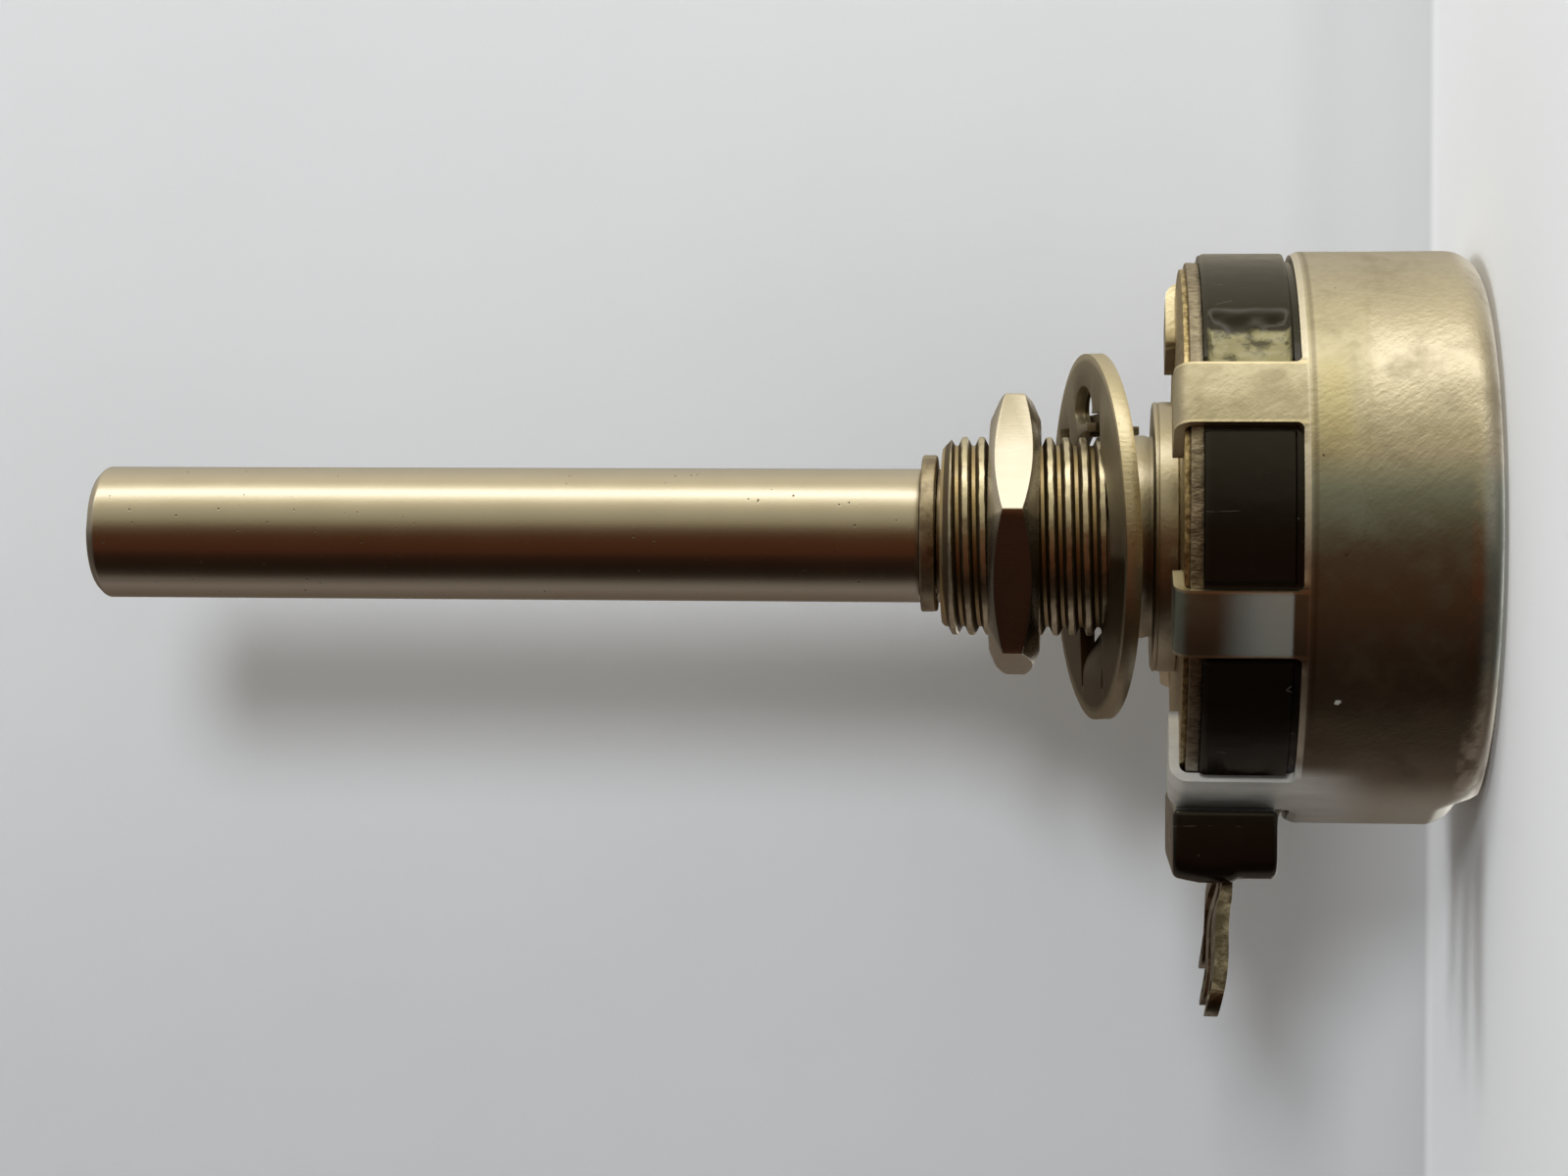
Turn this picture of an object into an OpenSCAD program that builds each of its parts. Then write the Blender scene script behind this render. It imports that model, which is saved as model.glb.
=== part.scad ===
// Rotary potentiometer with a long plain shaft, a threaded bush and a folded-tab metal can.
// The origin is on the shaft's axis, on the front face of the bush's flange, which is the
// shoulder that sits against a panel. +Z runs along the shaft to its free end, and the
// solder lugs point towards -Y. The flat back of the can is what it stands on.

/* [Shaft] */
// Diameter of the shaft
shaft_d = 6.35; // [5:0.05:8]
// Length of shaft in front of the mounting shoulder
shaft_reach = 50.8; // [20:0.1:80]
// Chamfer on the shaft's free end
shaft_chamfer = 0.4; // [0.1:0.1:1]
// How deep the clip's groove is cut into the shaft
groove_depth = 0.42; // [0.2:0.02:0.6]
// Radial size of the flange near the shaft's inner end
shaft_flange_step = 1.225; // [1.125:0.025:1.5]
// Thickness of the shaft's flange
shaft_flange_t = 0.8; // [0.5:0.1:1.2]
// Width across the two flats of the drive end
drive_flats = 3.8; // [3:0.1:4.4]
// Radial step from the shaft down to the drive end
drive_step = 0.55; // [0.4:0.05:0.8]
// Height of the riveted-over head on the drive end
drive_head_t = 0.6; // [0.4:0.1:1]

/* [Retaining clip] */
// Radial width of the clip's band
clip_band = 1.05; // [0.8:0.05:1.5]
// Thickness of the clip
clip_t = 0.7; // [0.4:0.05:1]
// Width of the clip's open mouth
clip_mouth = 2.2; // [1:0.1:3]
// Free space between the bush and the clip
clip_gap = 0.27; // [0.1:0.01:0.6]

/* [Bush] */
// Diameter over the bush's thread
bush_d = 9.525; // [9.2:0.005:12]
// Length of the bush in front of the shoulder
bush_reach = 9.8; // [8.6:0.1:14]
// Chamfer on the bush's front end
bush_chamfer = 0.6; // [0.2:0.1:0.9]
// Radial clearance of the shaft in the bush
bore_gap = 0.04; // [0.02:0.01:0.1]
// Radial size of the flange beyond the thread
flange_step = 1.6125; // [1.2:0.0125:3]
// Thickness of the bush's flange
flange_t = 1.2; // [0.8:0.1:2]
// Radial size of the spigot beyond the thread
spigot_step = 0.24; // [0.1:0.02:0.5]
// Radial size of the riveted-over collar beyond the spigot
collar_step = 0.5; // [0.2:0.1:0.8]
// Thickness of the riveted-over collar
collar_t = 0.54; // [0.3:0.02:0.8]

/* [Nut and locating washer] */
// Least wall of the nut, at the middle of a flat
nut_wall = 1.34; // [1:0.02:3]
// Thickness of the nut
nut_t = 2.35; // [1.5:0.05:3.2]
// Height of the nut's back face above the shoulder
nut_seat = 5.2; // [4.4:0.1:6]
// Turn of the nut on its thread
nut_turn = 9.1; // [0:0.1:59.9]
// Angle of the nut's corner chamfer
nut_chamfer_angle = 24; // [15:1:35]
// How far the chamfer's circle lies inside the flats
nut_chamfer_in = 0.2; // [0.1:0.05:0.5]
// Clearance of the nut around the thread
nut_gap = 0.05; // [0.02:0.01:0.2]
// Diameter of the locating washer
washer_d = 17.3; // [15:0.1:22]
// Thickness of the locating washer
washer_t = 0.7; // [0.4:0.05:1]
// Radial clearance of the washer around the thread
washer_gap = 0.24; // [0.2:0.02:0.5]
// Height of the washer's middle above the shoulder
washer_seat = 2.6; // [2.5:0.02:3]
// Lean of the loose washer towards +X
washer_lean = 11.5; // [0:0.5:12]
// Lean of the loose washer about the X axis
washer_roll = 1.9; // [-3:0.1:3]
// Width of each locating tongue
tongue_w = 1.6; // [1:0.1:2.5]
// Width of the window beside each tongue
window_w = 4.2; // [2.6:0.1:5]
// Thickness of each tongue
tongue_t = 0.42; // [0.3:0.02:0.6]
// Length of each tongue behind the washer
tongue_len = 1.75; // [1:0.05:1.8]

/* [Plates] */
// Thickness of the thin earth plate
earth_plate_t = 0.26; // [0.15:0.01:0.5]
// Thickness of the front plate
front_plate_t = 0.6; // [0.4:0.05:1]
// Clearance of the plates inside the tabs
plate_gap = 0.05; // [0.02:0.01:0.2]

/* [Moulded base] */
// How far the base stays inside the can's outside surface
base_inset = 0.1; // [0:0.05:0.3]
// Thickness of the base's front wall
base_wall_t = 1.64; // [1.2:0.02:2.4]
// Depth of the base from plate to can
base_depth = 4.64; // [4:0.02:7]
// Wall of the base's rim
rim_wall = 1.55; // [1.2:0.05:2.2]
// Length of the step that enters the can
step_t = 0.4; // [0.2:0.05:0.8]
// Width of the lug block below the base
chin_w = 13.5; // [12.6:0.1:18]
// How far the lug block reaches below the can
chin_reach = 2.2; // [1.6:0.05:5]
// How far the lug block stands in front of the base
chin_front = 0.46; // [0.1:0.02:0.8]
// Space between the lug block's back and the can
chin_back_gap = 0.5; // [0.2:0.05:1]
// Radius of the lug block's corners
chin_corner = 1.2; // [0.4:0.1:2]

/* [Can] */
// Outside diameter of the can
can_d = 26.8; // [26:0.1:34]
// Thickness of the can's sheet
can_t = 0.45; // [0.3:0.05:0.6]
// Length of the can behind the base
can_depth = 8.2; // [6.8:0.1:14]
// Outside radius of the can's back corner
can_corner = 1.5; // [0.8:0.1:3]
// Width of a folded tab
tab_w = 3.05; // [2:0.05:4]
// Inner radius of a tab's bend
tab_bend = 0.35; // [0.2:0.05:0.8]
// Length of a tab's folded end, from the can's outside
tab_hook = 3.8; // [2.5:0.1:5]
// Angle between neighbouring tabs
tab_step = 45; // [42:1:48]
// Width of the pressed-in stop
stop_w = 10; // [8:0.1:12]
// Depth of the pressed-in stop, from the sharp corner
stop_depth = 1.8; // [1.6:0.05:2.2]

/* [Solder lugs] */
// Angle between neighbouring lugs
lug_fan = 15; // [14:0.5:16]
// Width of a lug
lug_w = 2.2; // [1.6:0.1:2.3]
// Thickness of a lug
lug_t = 0.45; // [0.3:0.05:0.6]
// Length of a lug below its bend, before it was bent in use
lug_out = 6.45; // [4:0.05:9]
// Radius of a lug's eyelet
eyelet_r = 0.6; // [0.4:0.05:0.8]
// Lean of the lugs towards the shaft's free end
lug_lean = 6.5; // [0:0.5:12]
// Radius of a terminal rivet's shank
rivet_r = 0.45; // [0.3:0.05:0.6]
// Radius of a terminal rivet's heads
rivet_head_r = 0.8; // [0.6:0.05:0.95]
// Height of a terminal rivet's heads
rivet_head_t = 0.25; // [0.15:0.05:0.3]

/* [Track and wiper] */
// Thickness of the track board
board_t = 0.8; // [0.5:0.1:1.2]
// Bare edge of the board beside each ring
board_margin = 0.5; // [0.3:0.05:0.8]
// Radial width of the carbon track
track_w = 2.4; // [1.6:0.1:2.6]
// Thickness of the carbon track
track_t = 0.05; // [0.03:0.01:0.1]
// Radial width of the collector ring
collector_w = 1.5; // [1:0.1:1.6]
// Thickness of the collector ring
collector_t = 0.2; // [0.1:0.05:0.25]
// Distance from the board to the wiper spring
wiper_stand = 0.6; // [0.5:0.05:0.8]
// Thickness of the wiper spring
wiper_t = 0.2; // [0.15:0.05:0.3]
// Width of the wiper's arm
wiper_w = 3.2; // [2:0.1:4]
// Radius of the carbon brush
brush_r = 0.7; // [0.5:0.05:0.9]
// Running clearance under a contact
contact_gap = 0.05; // [0.03:0.01:0.1]
// Radial size of the carrier's front boss beyond the shaft
boss_step = 0.825; // [0.425:0.025:1.025]
// Radial width of the wiper's mounting ring
wiper_ring = 1.9; // [1.5:0.1:2.2]
// Radius of the insulating carrier
carrier_r = 7.5; // [6.8:0.1:9]
// Thickness of the stop arm's sheet
stop_arm_t = 0.8; // [0.6:0.1:1]
// Width of the stop arm
stop_arm_w = 3; // [2:0.1:3.4]
// Space between the stop arm and the can's wall
stop_arm_gap = 0.65; // [0.4:0.05:0.9]
// Thickness of the thrust washer
thrust_t = 0.4; // [0.2:0.05:0.6]
// Axial play on each side of the thrust washer
thrust_gap = 0.05; // [0.03:0.01:0.1]

/* [Hidden] */
$fn = 96;

// Cutting tools reach this far past the face they open.
over = 1;
// Pieces that slide together, and holes around rivets, have this much room.
slip = 0.05;
// Anything that turns past a fixed wall keeps at least this far from it.
turn_gap = 0.3;

// Radii
shaft_r = shaft_d / 2;
drive_r = shaft_r - drive_step;
drive_head_r = shaft_r;
shaft_flange_r = shaft_r + shaft_flange_step;
clip_in_r = shaft_r - groove_depth + slip;
bush_r = bush_d / 2;
flange_r = bush_r + flange_step;
spigot_r = bush_r + spigot_step;
collar_r = spigot_r + collar_step;
nut_flats = bush_d + 2 * (nut_gap + nut_wall);
washer_hole_r = bush_r + washer_gap;
can_r = can_d / 2;
can_in_r = can_r - can_t;
plate_r = can_in_r - plate_gap;
earth_r = can_in_r - tab_bend;
base_r = can_r - base_inset;
chin_drop = can_r + chin_reach;
cavity_r = base_r - rim_wall;
board_r = cavity_r - slip;
hub_hole_r = max(collar_r, shaft_flange_r) + turn_gap;
track_out_r = board_r - board_margin;
track_mid_r = track_out_r - track_w / 2;
track_in_r = track_out_r - track_w;
collector_in_r = hub_hole_r + board_margin;
collector_mid_r = collector_in_r + collector_w / 2;
finger_r = can_in_r - stop_arm_gap;
boss_r = shaft_r + boss_step;
wiper_hole_r = boss_r + slip;
wiper_ring_r = wiper_hole_r + wiper_ring;

// Levels along Z, from the shoulder back to the can's bottom
flange_back = -flange_t;
earth_back = flange_back - earth_plate_t;
plate_back = earth_back - front_plate_t;
collar_back = plate_back - collar_t;
wall_back = plate_back - base_wall_t;
board_back = wall_back - board_t;
track_back = board_back - track_t;
collector_back = board_back - collector_t;
wiper_front = board_back - wiper_stand;
wiper_back = wiper_front - wiper_t;
base_back = plate_back - base_depth;
step_back = base_back - step_t;
carrier_back = step_back - turn_gap;
stop_arm_back = carrier_back - stop_arm_t;
can_back = base_back - can_depth;
finger_back = can_back + can_t + turn_gap + stop_arm_t / 3;
thrust_front = collar_back - thrust_gap;
shaft_flange_front = thrust_front - thrust_t - thrust_gap;
shaft_flange_back = shaft_flange_front - shaft_flange_t;
clip_front = bush_reach + clip_gap + clip_t;

// Tabs stand around the can at even steps, and two places opposite each other have none.
tab_first = 27.5;
tab_count = 8;
tab_skip = [3, 7];
tab_angles = [for (i = [0:tab_count - 1]) if (!search(i, tab_skip)) tab_first - i * tab_step];

// Lugs and their rivets stand in a fan. The outer two rivets end the track, and the middle
// one feeds the collector ring.
lug_turns = [lug_fan, 0, -lug_fan];
// The track ends this far past the middle of its end rivets.
track_free_angle = 2 * lug_fan - 2 * atan2(rivet_head_r, track_mid_r);
// How much less each lug reaches now, after it was bent and trimmed.
lug_short = [0.3, 0.8, 1.2];
lug_inner_s = track_mid_r - rivet_head_r;
lug_bend_s = (chin_drop + slip + lug_w / 2 * sin(lug_fan)) / cos(lug_fan);

function ring_mid(inner, outer) = (inner + outer) / 2;

module ring(outer, inner, low, high) {
    translate([0, 0, low]) difference() {
        cylinder(r = outer, h = high - low);
        translate([0, 0, -over]) cylinder(r = inner, h = high - low + 2 * over);
    }
}

module disc(radius, low, high) {
    translate([0, 0, low]) cylinder(r = radius, h = high - low);
}

// A bar that runs from the axis along +X, as long as reach.
module spoke(width, reach, low, high) {
    translate([0, -width / 2, low]) cube([reach, width, high - low]);
}

// Half outline of a cup with a rounded back corner, in the plane of the axis.
module cup_outline(radius, back, front, corner) {
    translate([0, back + corner]) square([radius, front - back - corner]);
    translate([0, back]) square([radius - corner, corner]);
    translate([radius - corner, back + corner]) intersection() {
        circle(r = corner);
        translate([0, -corner]) square([corner, corner]);
    }
}

// Half outline of a tab: up the can's outside, round a bend and in over the plates.
module tab_outline() {
    bend_r = tab_bend + can_t;
    hook_back = flange_back + slip / 2;
    hook_front = hook_back + can_t;
    translate([can_in_r, base_back - slip]) square([can_t, hook_front - bend_r - base_back + slip]);
    translate([can_r - tab_hook, hook_back]) square([tab_hook - bend_r, can_t]);
    translate([can_r - bend_r, hook_front - bend_r]) intersection() {
        difference() {
            circle(r = bend_r);
            circle(r = tab_bend);
        }
        square([bend_r, bend_r]);
    }
}

// The wedge of sheet that the press pushed in, grown by the sheet's thickness for the inside.
module stop_wedge(grow) {
    span = 2 * (stop_depth + can_t) + over;
    translate([0, -can_r, can_back]) rotate([45, 0, 0])
        translate([-stop_w / 2 - grow, -span, -span])
            cube([stop_w + 2 * grow, span + stop_depth + grow, 2 * span]);
}

module cover() {
    color([0.66, 0.64, 0.55]) {
        difference() {
            rotate_extrude() cup_outline(can_r, can_back, base_back, can_corner);
            stop_wedge(0);
            difference() {
                rotate_extrude()
                    cup_outline(can_in_r, can_back + can_t, base_back + over, can_corner - can_t);
                stop_wedge(can_t);
            }
        }
        intersection() {
            rotate_extrude() tab_outline();
            for (angle = tab_angles) rotate(angle) spoke(tab_w, can_r + over, base_back - over, over);
        }
    }
}

// Room for the tabs where they pass over the base and through the lug block.
module tab_room() {
    intersection() {
        ring(can_r + slip, can_in_r - slip / 2, step_back - over, over);
        for (angle = tab_angles)
            rotate(angle) spoke(tab_w + 4 * slip, can_r + over, step_back - 2 * over, 2 * over);
    }
}

// Front view of the lug block, with rounded lower corners.
module chin_outline() {
    half = chin_w / 2 - chin_corner;
    translate([-chin_w / 2, -chin_drop + chin_corner])
        square([chin_w, chin_drop - chin_corner - cavity_r * 0.9]);
    translate([-half, -chin_drop]) square([2 * half, chin_corner * 1.5]);
    for (side = [-1, 1]) translate([side * half, -chin_drop + chin_corner]) circle(r = chin_corner);
}

module chin() {
    chin_back = base_back + chin_back_gap;
    difference() {
        translate([0, 0, chin_back]) linear_extrude(plate_back + chin_front - chin_back) chin_outline();
        disc(plate_r + 2 * slip, plate_back, over);
        disc(cavity_r, chin_back - over, plate_back);
    }
}

// Places a lug's own frame, in which the lug runs from the axis along -Y.
module at_lug(index) {
    rotate(lug_turns[index]) children();
}

module at_rivet(index) {
    at_lug(index) translate([0, -track_mid_r, 0]) children();
}

// The channel of one lug: open to the board inside the base, closed through the block.
module lug_room(index) {
    width = lug_w + 2 * slip;
    at_lug(index) translate([-width / 2, -lug_bend_s - over, wall_back])
        cube([width, lug_bend_s + over - lug_inner_s + slip, lug_t + slip]);
    at_rivet(index) disc(rivet_head_r + slip, wall_back, wall_back + lug_t + rivet_head_t + slip);
}

module base() {
    color([0.06, 0.05, 0.05]) difference() {
        union() {
            disc(base_r, base_back, plate_back);
            disc(can_in_r - slip, step_back, base_back);
            chin();
        }
        disc(cavity_r, step_back - over, wall_back);
        disc(hub_hole_r, wall_back - over, plate_back + over);
        tab_room();
        for (index = [0:2]) lug_room(index);
    }
}

module front_plate() {
    color([0.5, 0.47, 0.42]) ring(plate_r, spigot_r + slip, plate_back, earth_back);
}

module earth_plate() {
    color([0.72, 0.62, 0.38]) ring(earth_r, spigot_r + slip, earth_back, flange_back);
}

module bush() {
    color([0.7, 0.67, 0.58]) difference() {
        union() {
            disc(bush_r, 0, bush_reach - bush_chamfer);
            translate([0, 0, bush_reach - bush_chamfer])
                cylinder(r1 = bush_r, r2 = bush_r - bush_chamfer, h = bush_chamfer);
            disc(flange_r, flange_back, 0);
            disc(spigot_r, plate_back, flange_back);
            disc(collar_r, collar_back, plate_back);
        }
        disc(shaft_r + bore_gap, collar_back - over, bush_reach + over);
    }
}

module hex_nut() {
    face_r = nut_flats / 2 - nut_chamfer_in;
    wide_r = face_r + nut_t / tan(nut_chamfer_angle);
    color([0.72, 0.7, 0.62]) translate([0, 0, nut_seat]) difference() {
        intersection() {
            rotate(nut_turn) cylinder(r = nut_flats / sqrt(3), h = nut_t, $fn = 6);
            cylinder(r1 = face_r, r2 = wide_r, h = nut_t);
            cylinder(r1 = wide_r, r2 = face_r, h = nut_t);
        }
        disc(bush_r + nut_gap, -over, nut_t + over);
    }
}

// A loose washer: each tongue was cut out of its window and turned back at the hole's edge.
module locating_washer() {
    root_r = washer_hole_r;
    window_r = root_r + tongue_t;
    color([0.6, 0.57, 0.5]) translate([0, 0, washer_seat]) rotate([washer_roll, washer_lean, 0]) {
        difference() {
            ring(washer_d / 2, washer_hole_r, -washer_t / 2, washer_t / 2);
            for (turn = [90, 270])
                rotate(turn) translate([window_r, -window_w / 2, -washer_t])
                    cube([tongue_len, window_w, 2 * washer_t]);
        }
        for (turn = [90, 270])
            rotate(turn) translate([root_r, -tongue_w / 2, -washer_t / 2 - tongue_len])
                cube([tongue_t, tongue_w, tongue_len + washer_t / 2]);
    }
}

// Straight holes through a sheet at each terminal rivet.
module rivet_holes(low, high) {
    for (index = [0:2]) at_rivet(index) disc(rivet_r + slip, low - over, high + over);
}

module track_board() {
    color([0.45, 0.27, 0.13]) difference() {
        ring(board_r, hub_hole_r, board_back, wall_back);
        rivet_holes(board_back, wall_back);
    }
}

// The sector towards -Y that the carbon track leaves free.
module bottom_sector(angle, reach) {
    far = reach / cos(angle / 2);
    polygon([[0, 0], far * [-sin(angle / 2), -cos(angle / 2)], far * [sin(angle / 2), -cos(angle / 2)]]);
}

module carbon_track() {
    color([0.08, 0.08, 0.08]) difference() {
        ring(track_out_r, track_in_r, track_back, board_back);
        translate([0, 0, track_back - over])
            linear_extrude(track_t + 2 * over) bottom_sector(track_free_angle, board_r);
        rivet_holes(track_back, board_back);
    }
}

module collector_ring() {
    color([0.85, 0.8, 0.62]) difference() {
        union() {
            ring(collector_in_r + collector_w, collector_in_r, collector_back, board_back);
            rotate(-90) translate([collector_mid_r, 0, 0])
                spoke(2 * rivet_head_r, track_mid_r - collector_mid_r, collector_back, board_back);
            at_rivet(1) disc(rivet_head_r, collector_back, board_back);
        }
        rivet_holes(collector_back, board_back);
    }
}

// One solder lug: flat in its channel, then leaning forward below the block.
module terminal(index) {
    reach = lug_out - lug_short[index];
    mid_z = wall_back + lug_t / 2;
    color([0.7, 0.7, 0.68]) difference() {
        at_lug(index) difference() {
            union() {
                translate([-lug_w / 2, -lug_bend_s, wall_back])
                    cube([lug_w, lug_bend_s - lug_inner_s, lug_t]);
                translate([0, -lug_bend_s, mid_z]) {
                    translate([-lug_w / 2, 0, 0]) rotate([0, 90, 0]) cylinder(r = lug_t / 2, h = lug_w);
                    rotate([-lug_lean, 0, 0]) {
                        translate([-lug_w / 2, lug_w / 2 - reach, -lug_t / 2])
                            cube([lug_w, reach - lug_w / 2, lug_t]);
                        translate([0, lug_w / 2 - reach, 0]) disc(lug_w / 2, -lug_t / 2, lug_t / 2);
                    }
                }
            }
            translate([0, -lug_bend_s, mid_z]) rotate([-lug_lean, 0, 0])
                translate([0, lug_w / 2 - reach, 0]) disc(eyelet_r, -over, over);
        }
        at_rivet(index) disc(rivet_r + slip, wall_back - over, wall_back + over);
    }
}

module terminal_rivets() {
    front = wall_back + lug_t;
    backs = [track_back, collector_back, track_back];
    color([0.78, 0.7, 0.5]) for (index = [0:2]) at_rivet(index) {
        disc(rivet_r, backs[index] - rivet_head_t, front + rivet_head_t);
        disc(rivet_head_r, front, front + rivet_head_t);
        disc(rivet_head_r, backs[index] - rivet_head_t, backs[index]);
    }
}

// Round bar with two flats, which drives the carrier and the stop arm.
module drive_bar(grow, low, high) {
    intersection() {
        disc(drive_r + grow, low, high);
        translate([-drive_flats / 2 - grow, -shaft_r, low])
            cube([drive_flats + 2 * grow, shaft_d, high - low]);
    }
}

module shaft() {
    groove_back = bush_reach + clip_gap - slip;
    color([0.72, 0.69, 0.62]) {
        difference() {
            union() {
                disc(shaft_r, shaft_flange_back, shaft_reach - shaft_chamfer);
                translate([0, 0, shaft_reach - shaft_chamfer])
                    cylinder(r1 = shaft_r, r2 = shaft_r - shaft_chamfer, h = shaft_chamfer);
                disc(shaft_flange_r, shaft_flange_back, shaft_flange_front);
            }
            ring(shaft_r + over, shaft_r - groove_depth, groove_back, clip_front + slip);
        }
        drive_bar(0, stop_arm_back - slip, shaft_flange_back + slip);
        disc(drive_head_r, stop_arm_back - drive_head_t, stop_arm_back);
    }
}

module retaining_clip() {
    back = clip_front - clip_t;
    color([0.62, 0.58, 0.5]) difference() {
        ring(clip_in_r + clip_band, clip_in_r, back, clip_front);
        rotate(-90) spoke(clip_mouth, shaft_d, back - over, clip_front + over);
    }
}

module thrust_washer() {
    color([0.7, 0.6, 0.4]) ring(collar_r - 2 * slip, shaft_r + slip, thrust_front - thrust_t, thrust_front);
}

// Two small rivets fix the wiper spring to the carrier, left and right of the shaft.
wiper_rivet_r = rivet_r * 0.9;
wiper_rivet_x = ring_mid(wiper_hole_r, wiper_ring_r);

module wiper_rivet_holes(low, high) {
    for (side = [-1, 1])
        translate([side * wiper_rivet_x, 0, 0]) disc(wiper_rivet_r + slip, low - over, high + over);
}

module rotor_carrier() {
    color([0.3, 0.16, 0.09]) difference() {
        union() {
            disc(carrier_r, carrier_back, wiper_back);
            disc(boss_r, wiper_back, shaft_flange_back);
        }
        drive_bar(0, carrier_back - over, shaft_flange_back + over);
        wiper_rivet_holes(carrier_back, wiper_back);
    }
}

module wiper_spring() {
    color([0.8, 0.68, 0.4]) difference() {
        union() {
            disc(wiper_ring_r, wiper_back, wiper_front);
            rotate(90) spoke(wiper_w, track_mid_r, wiper_back, wiper_front);
            translate([0, track_mid_r, 0]) disc(wiper_w / 2, wiper_back, wiper_front);
        }
        disc(wiper_hole_r, wiper_back - over, wiper_front + over);
        wiper_rivet_holes(wiper_back, wiper_front);
    }
}

module contact_brush() {
    color([0.12, 0.12, 0.12]) translate([0, track_mid_r, 0])
        disc(brush_r, wiper_front, track_back - contact_gap);
}

module collector_contact() {
    color([0.85, 0.8, 0.62]) translate([0, collector_mid_r, 0])
        disc(collector_w / 3, wiper_front, collector_back - contact_gap);
}

module wiper_rivets() {
    head_r = wiper_rivet_r * 1.6;
    color([0.78, 0.7, 0.5]) for (side = [-1, 1]) translate([side * wiper_rivet_x, 0, 0]) {
        disc(wiper_rivet_r, carrier_back - rivet_head_t, wiper_front + rivet_head_t);
        disc(head_r, wiper_front, wiper_front + rivet_head_t);
        disc(head_r, carrier_back - rivet_head_t, carrier_back);
    }
}

// A plate on the drive end with one arm, bent back to reach the can's pressed-in stop.
module stop_arm() {
    hub_r = shaft_r + stop_arm_t;
    color([0.6, 0.58, 0.52]) difference() {
        union() {
            disc(hub_r, stop_arm_back, carrier_back);
            rotate(90) spoke(stop_arm_w, finger_r, stop_arm_back, carrier_back);
            rotate(90) translate([finger_r - stop_arm_t, 0, 0])
                spoke(stop_arm_w, stop_arm_t, finger_back, carrier_back);
        }
        drive_bar(0, stop_arm_back - over, carrier_back + over);
    }
}

cover();
base();
front_plate();
earth_plate();
bush();
locating_washer();
hex_nut();
track_board();
carbon_track();
collector_ring();
terminal(0);  // terminal_1
terminal(1);  // terminal_2
terminal(2);  // terminal_3
terminal_rivets();
shaft();
retaining_clip();
thrust_washer();
rotor_carrier();
wiper_spring();
contact_brush();
collector_contact();
wiper_rivets();
stop_arm();
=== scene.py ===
import math

import bmesh
import bpy
from mathutils import Matrix, Vector, noise


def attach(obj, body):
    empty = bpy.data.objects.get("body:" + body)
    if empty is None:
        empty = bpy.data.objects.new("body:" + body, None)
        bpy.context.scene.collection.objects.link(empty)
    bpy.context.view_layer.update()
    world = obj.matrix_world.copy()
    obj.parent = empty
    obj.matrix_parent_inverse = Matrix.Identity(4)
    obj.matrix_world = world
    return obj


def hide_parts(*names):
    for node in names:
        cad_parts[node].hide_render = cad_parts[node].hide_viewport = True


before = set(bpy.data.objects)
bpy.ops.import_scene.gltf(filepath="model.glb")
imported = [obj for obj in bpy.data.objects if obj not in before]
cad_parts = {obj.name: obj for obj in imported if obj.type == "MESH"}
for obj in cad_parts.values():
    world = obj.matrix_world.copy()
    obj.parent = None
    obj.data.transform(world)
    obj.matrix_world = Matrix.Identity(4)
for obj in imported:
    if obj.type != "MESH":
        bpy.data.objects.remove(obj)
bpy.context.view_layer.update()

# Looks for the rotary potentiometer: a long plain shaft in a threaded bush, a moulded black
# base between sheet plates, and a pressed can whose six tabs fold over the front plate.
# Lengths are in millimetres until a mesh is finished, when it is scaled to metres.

MM = 0.001
FULL = math.tau
scene = bpy.context.scene

# Levels along the shaft, measured from the shoulder that meets a panel.
SHAFT_TIP = 50.8
BUSH_FRONT = 9.8
CLIP_BACK = 10.07
CLIP_FRONT = 10.77
NUT_BACK = 5.2
FLANGE_BACK = -1.2
EARTH_BACK = -1.46
PLATE_BACK = -2.06
COLLAR_BACK = -2.6
WALL_BACK = -3.7
CAN_MOUTH = -6.3
GROOVE_BACK = -6.7
STEP_BACK = -7.1
CAN_BACK = -14.9

# Radii about the shaft's axis.
SHAFT_R = 3.175
PLATE_R = 12.9
EARTH_R = 12.6
BASE_R = 13.3
CAVITY_R = 11.75
CAN_R = 13.4
SHEET = 0.45

# The six folded tabs, by their angle about the shaft.
TAB_ANGLES = (27.5, -17.5, -62.5, -152.5, 162.5, 117.5)
TAB_HALF = 1.525


# ---------------------------------------------------------------- mesh helpers

def polar(co):
    """Distance from the shaft's axis, and angle about it in degrees."""
    return math.hypot(co.x, co.y), math.degrees(math.atan2(co.y, co.x))


def apart(angle, other):
    """Size of the angle between two directions, in degrees."""
    return abs((angle - other + 180) % 360 - 180)


def ease(value, low, high):
    """0 at low, 1 at high, smooth in between; low may be the larger."""
    t = min(1, max(0, (value - low) / (high - low)))
    return t * t * (3 - 2 * t)


def wander(co, size, seed=0):
    """Slow unevenness between about -1 and 1, with features of that size in millimetres."""
    return noise.noise(Vector(co) / size + Vector((seed * 7.3, seed * 3.1, seed * 5.7)))


def lathe(outline, steps=192, closed=False):
    """Turns a half outline of (radius, level) points about the shaft's axis."""
    bm = bmesh.new()
    verts = [bm.verts.new((radius, 0, level)) for radius, level in outline]
    ends = verts[1:] + verts[:1] if closed else verts[1:]
    edges = [bm.edges.new(pair) for pair in zip(verts, ends)]
    bmesh.ops.spin(bm, geom=verts + edges, cent=(0, 0, 0), axis=(0, 0, 1), angle=FULL,
                   steps=steps, use_merge=True)
    bmesh.ops.remove_doubles(bm, verts=bm.verts, dist=1e-4)
    bmesh.ops.recalc_face_normals(bm, faces=bm.faces)
    return bm


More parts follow.
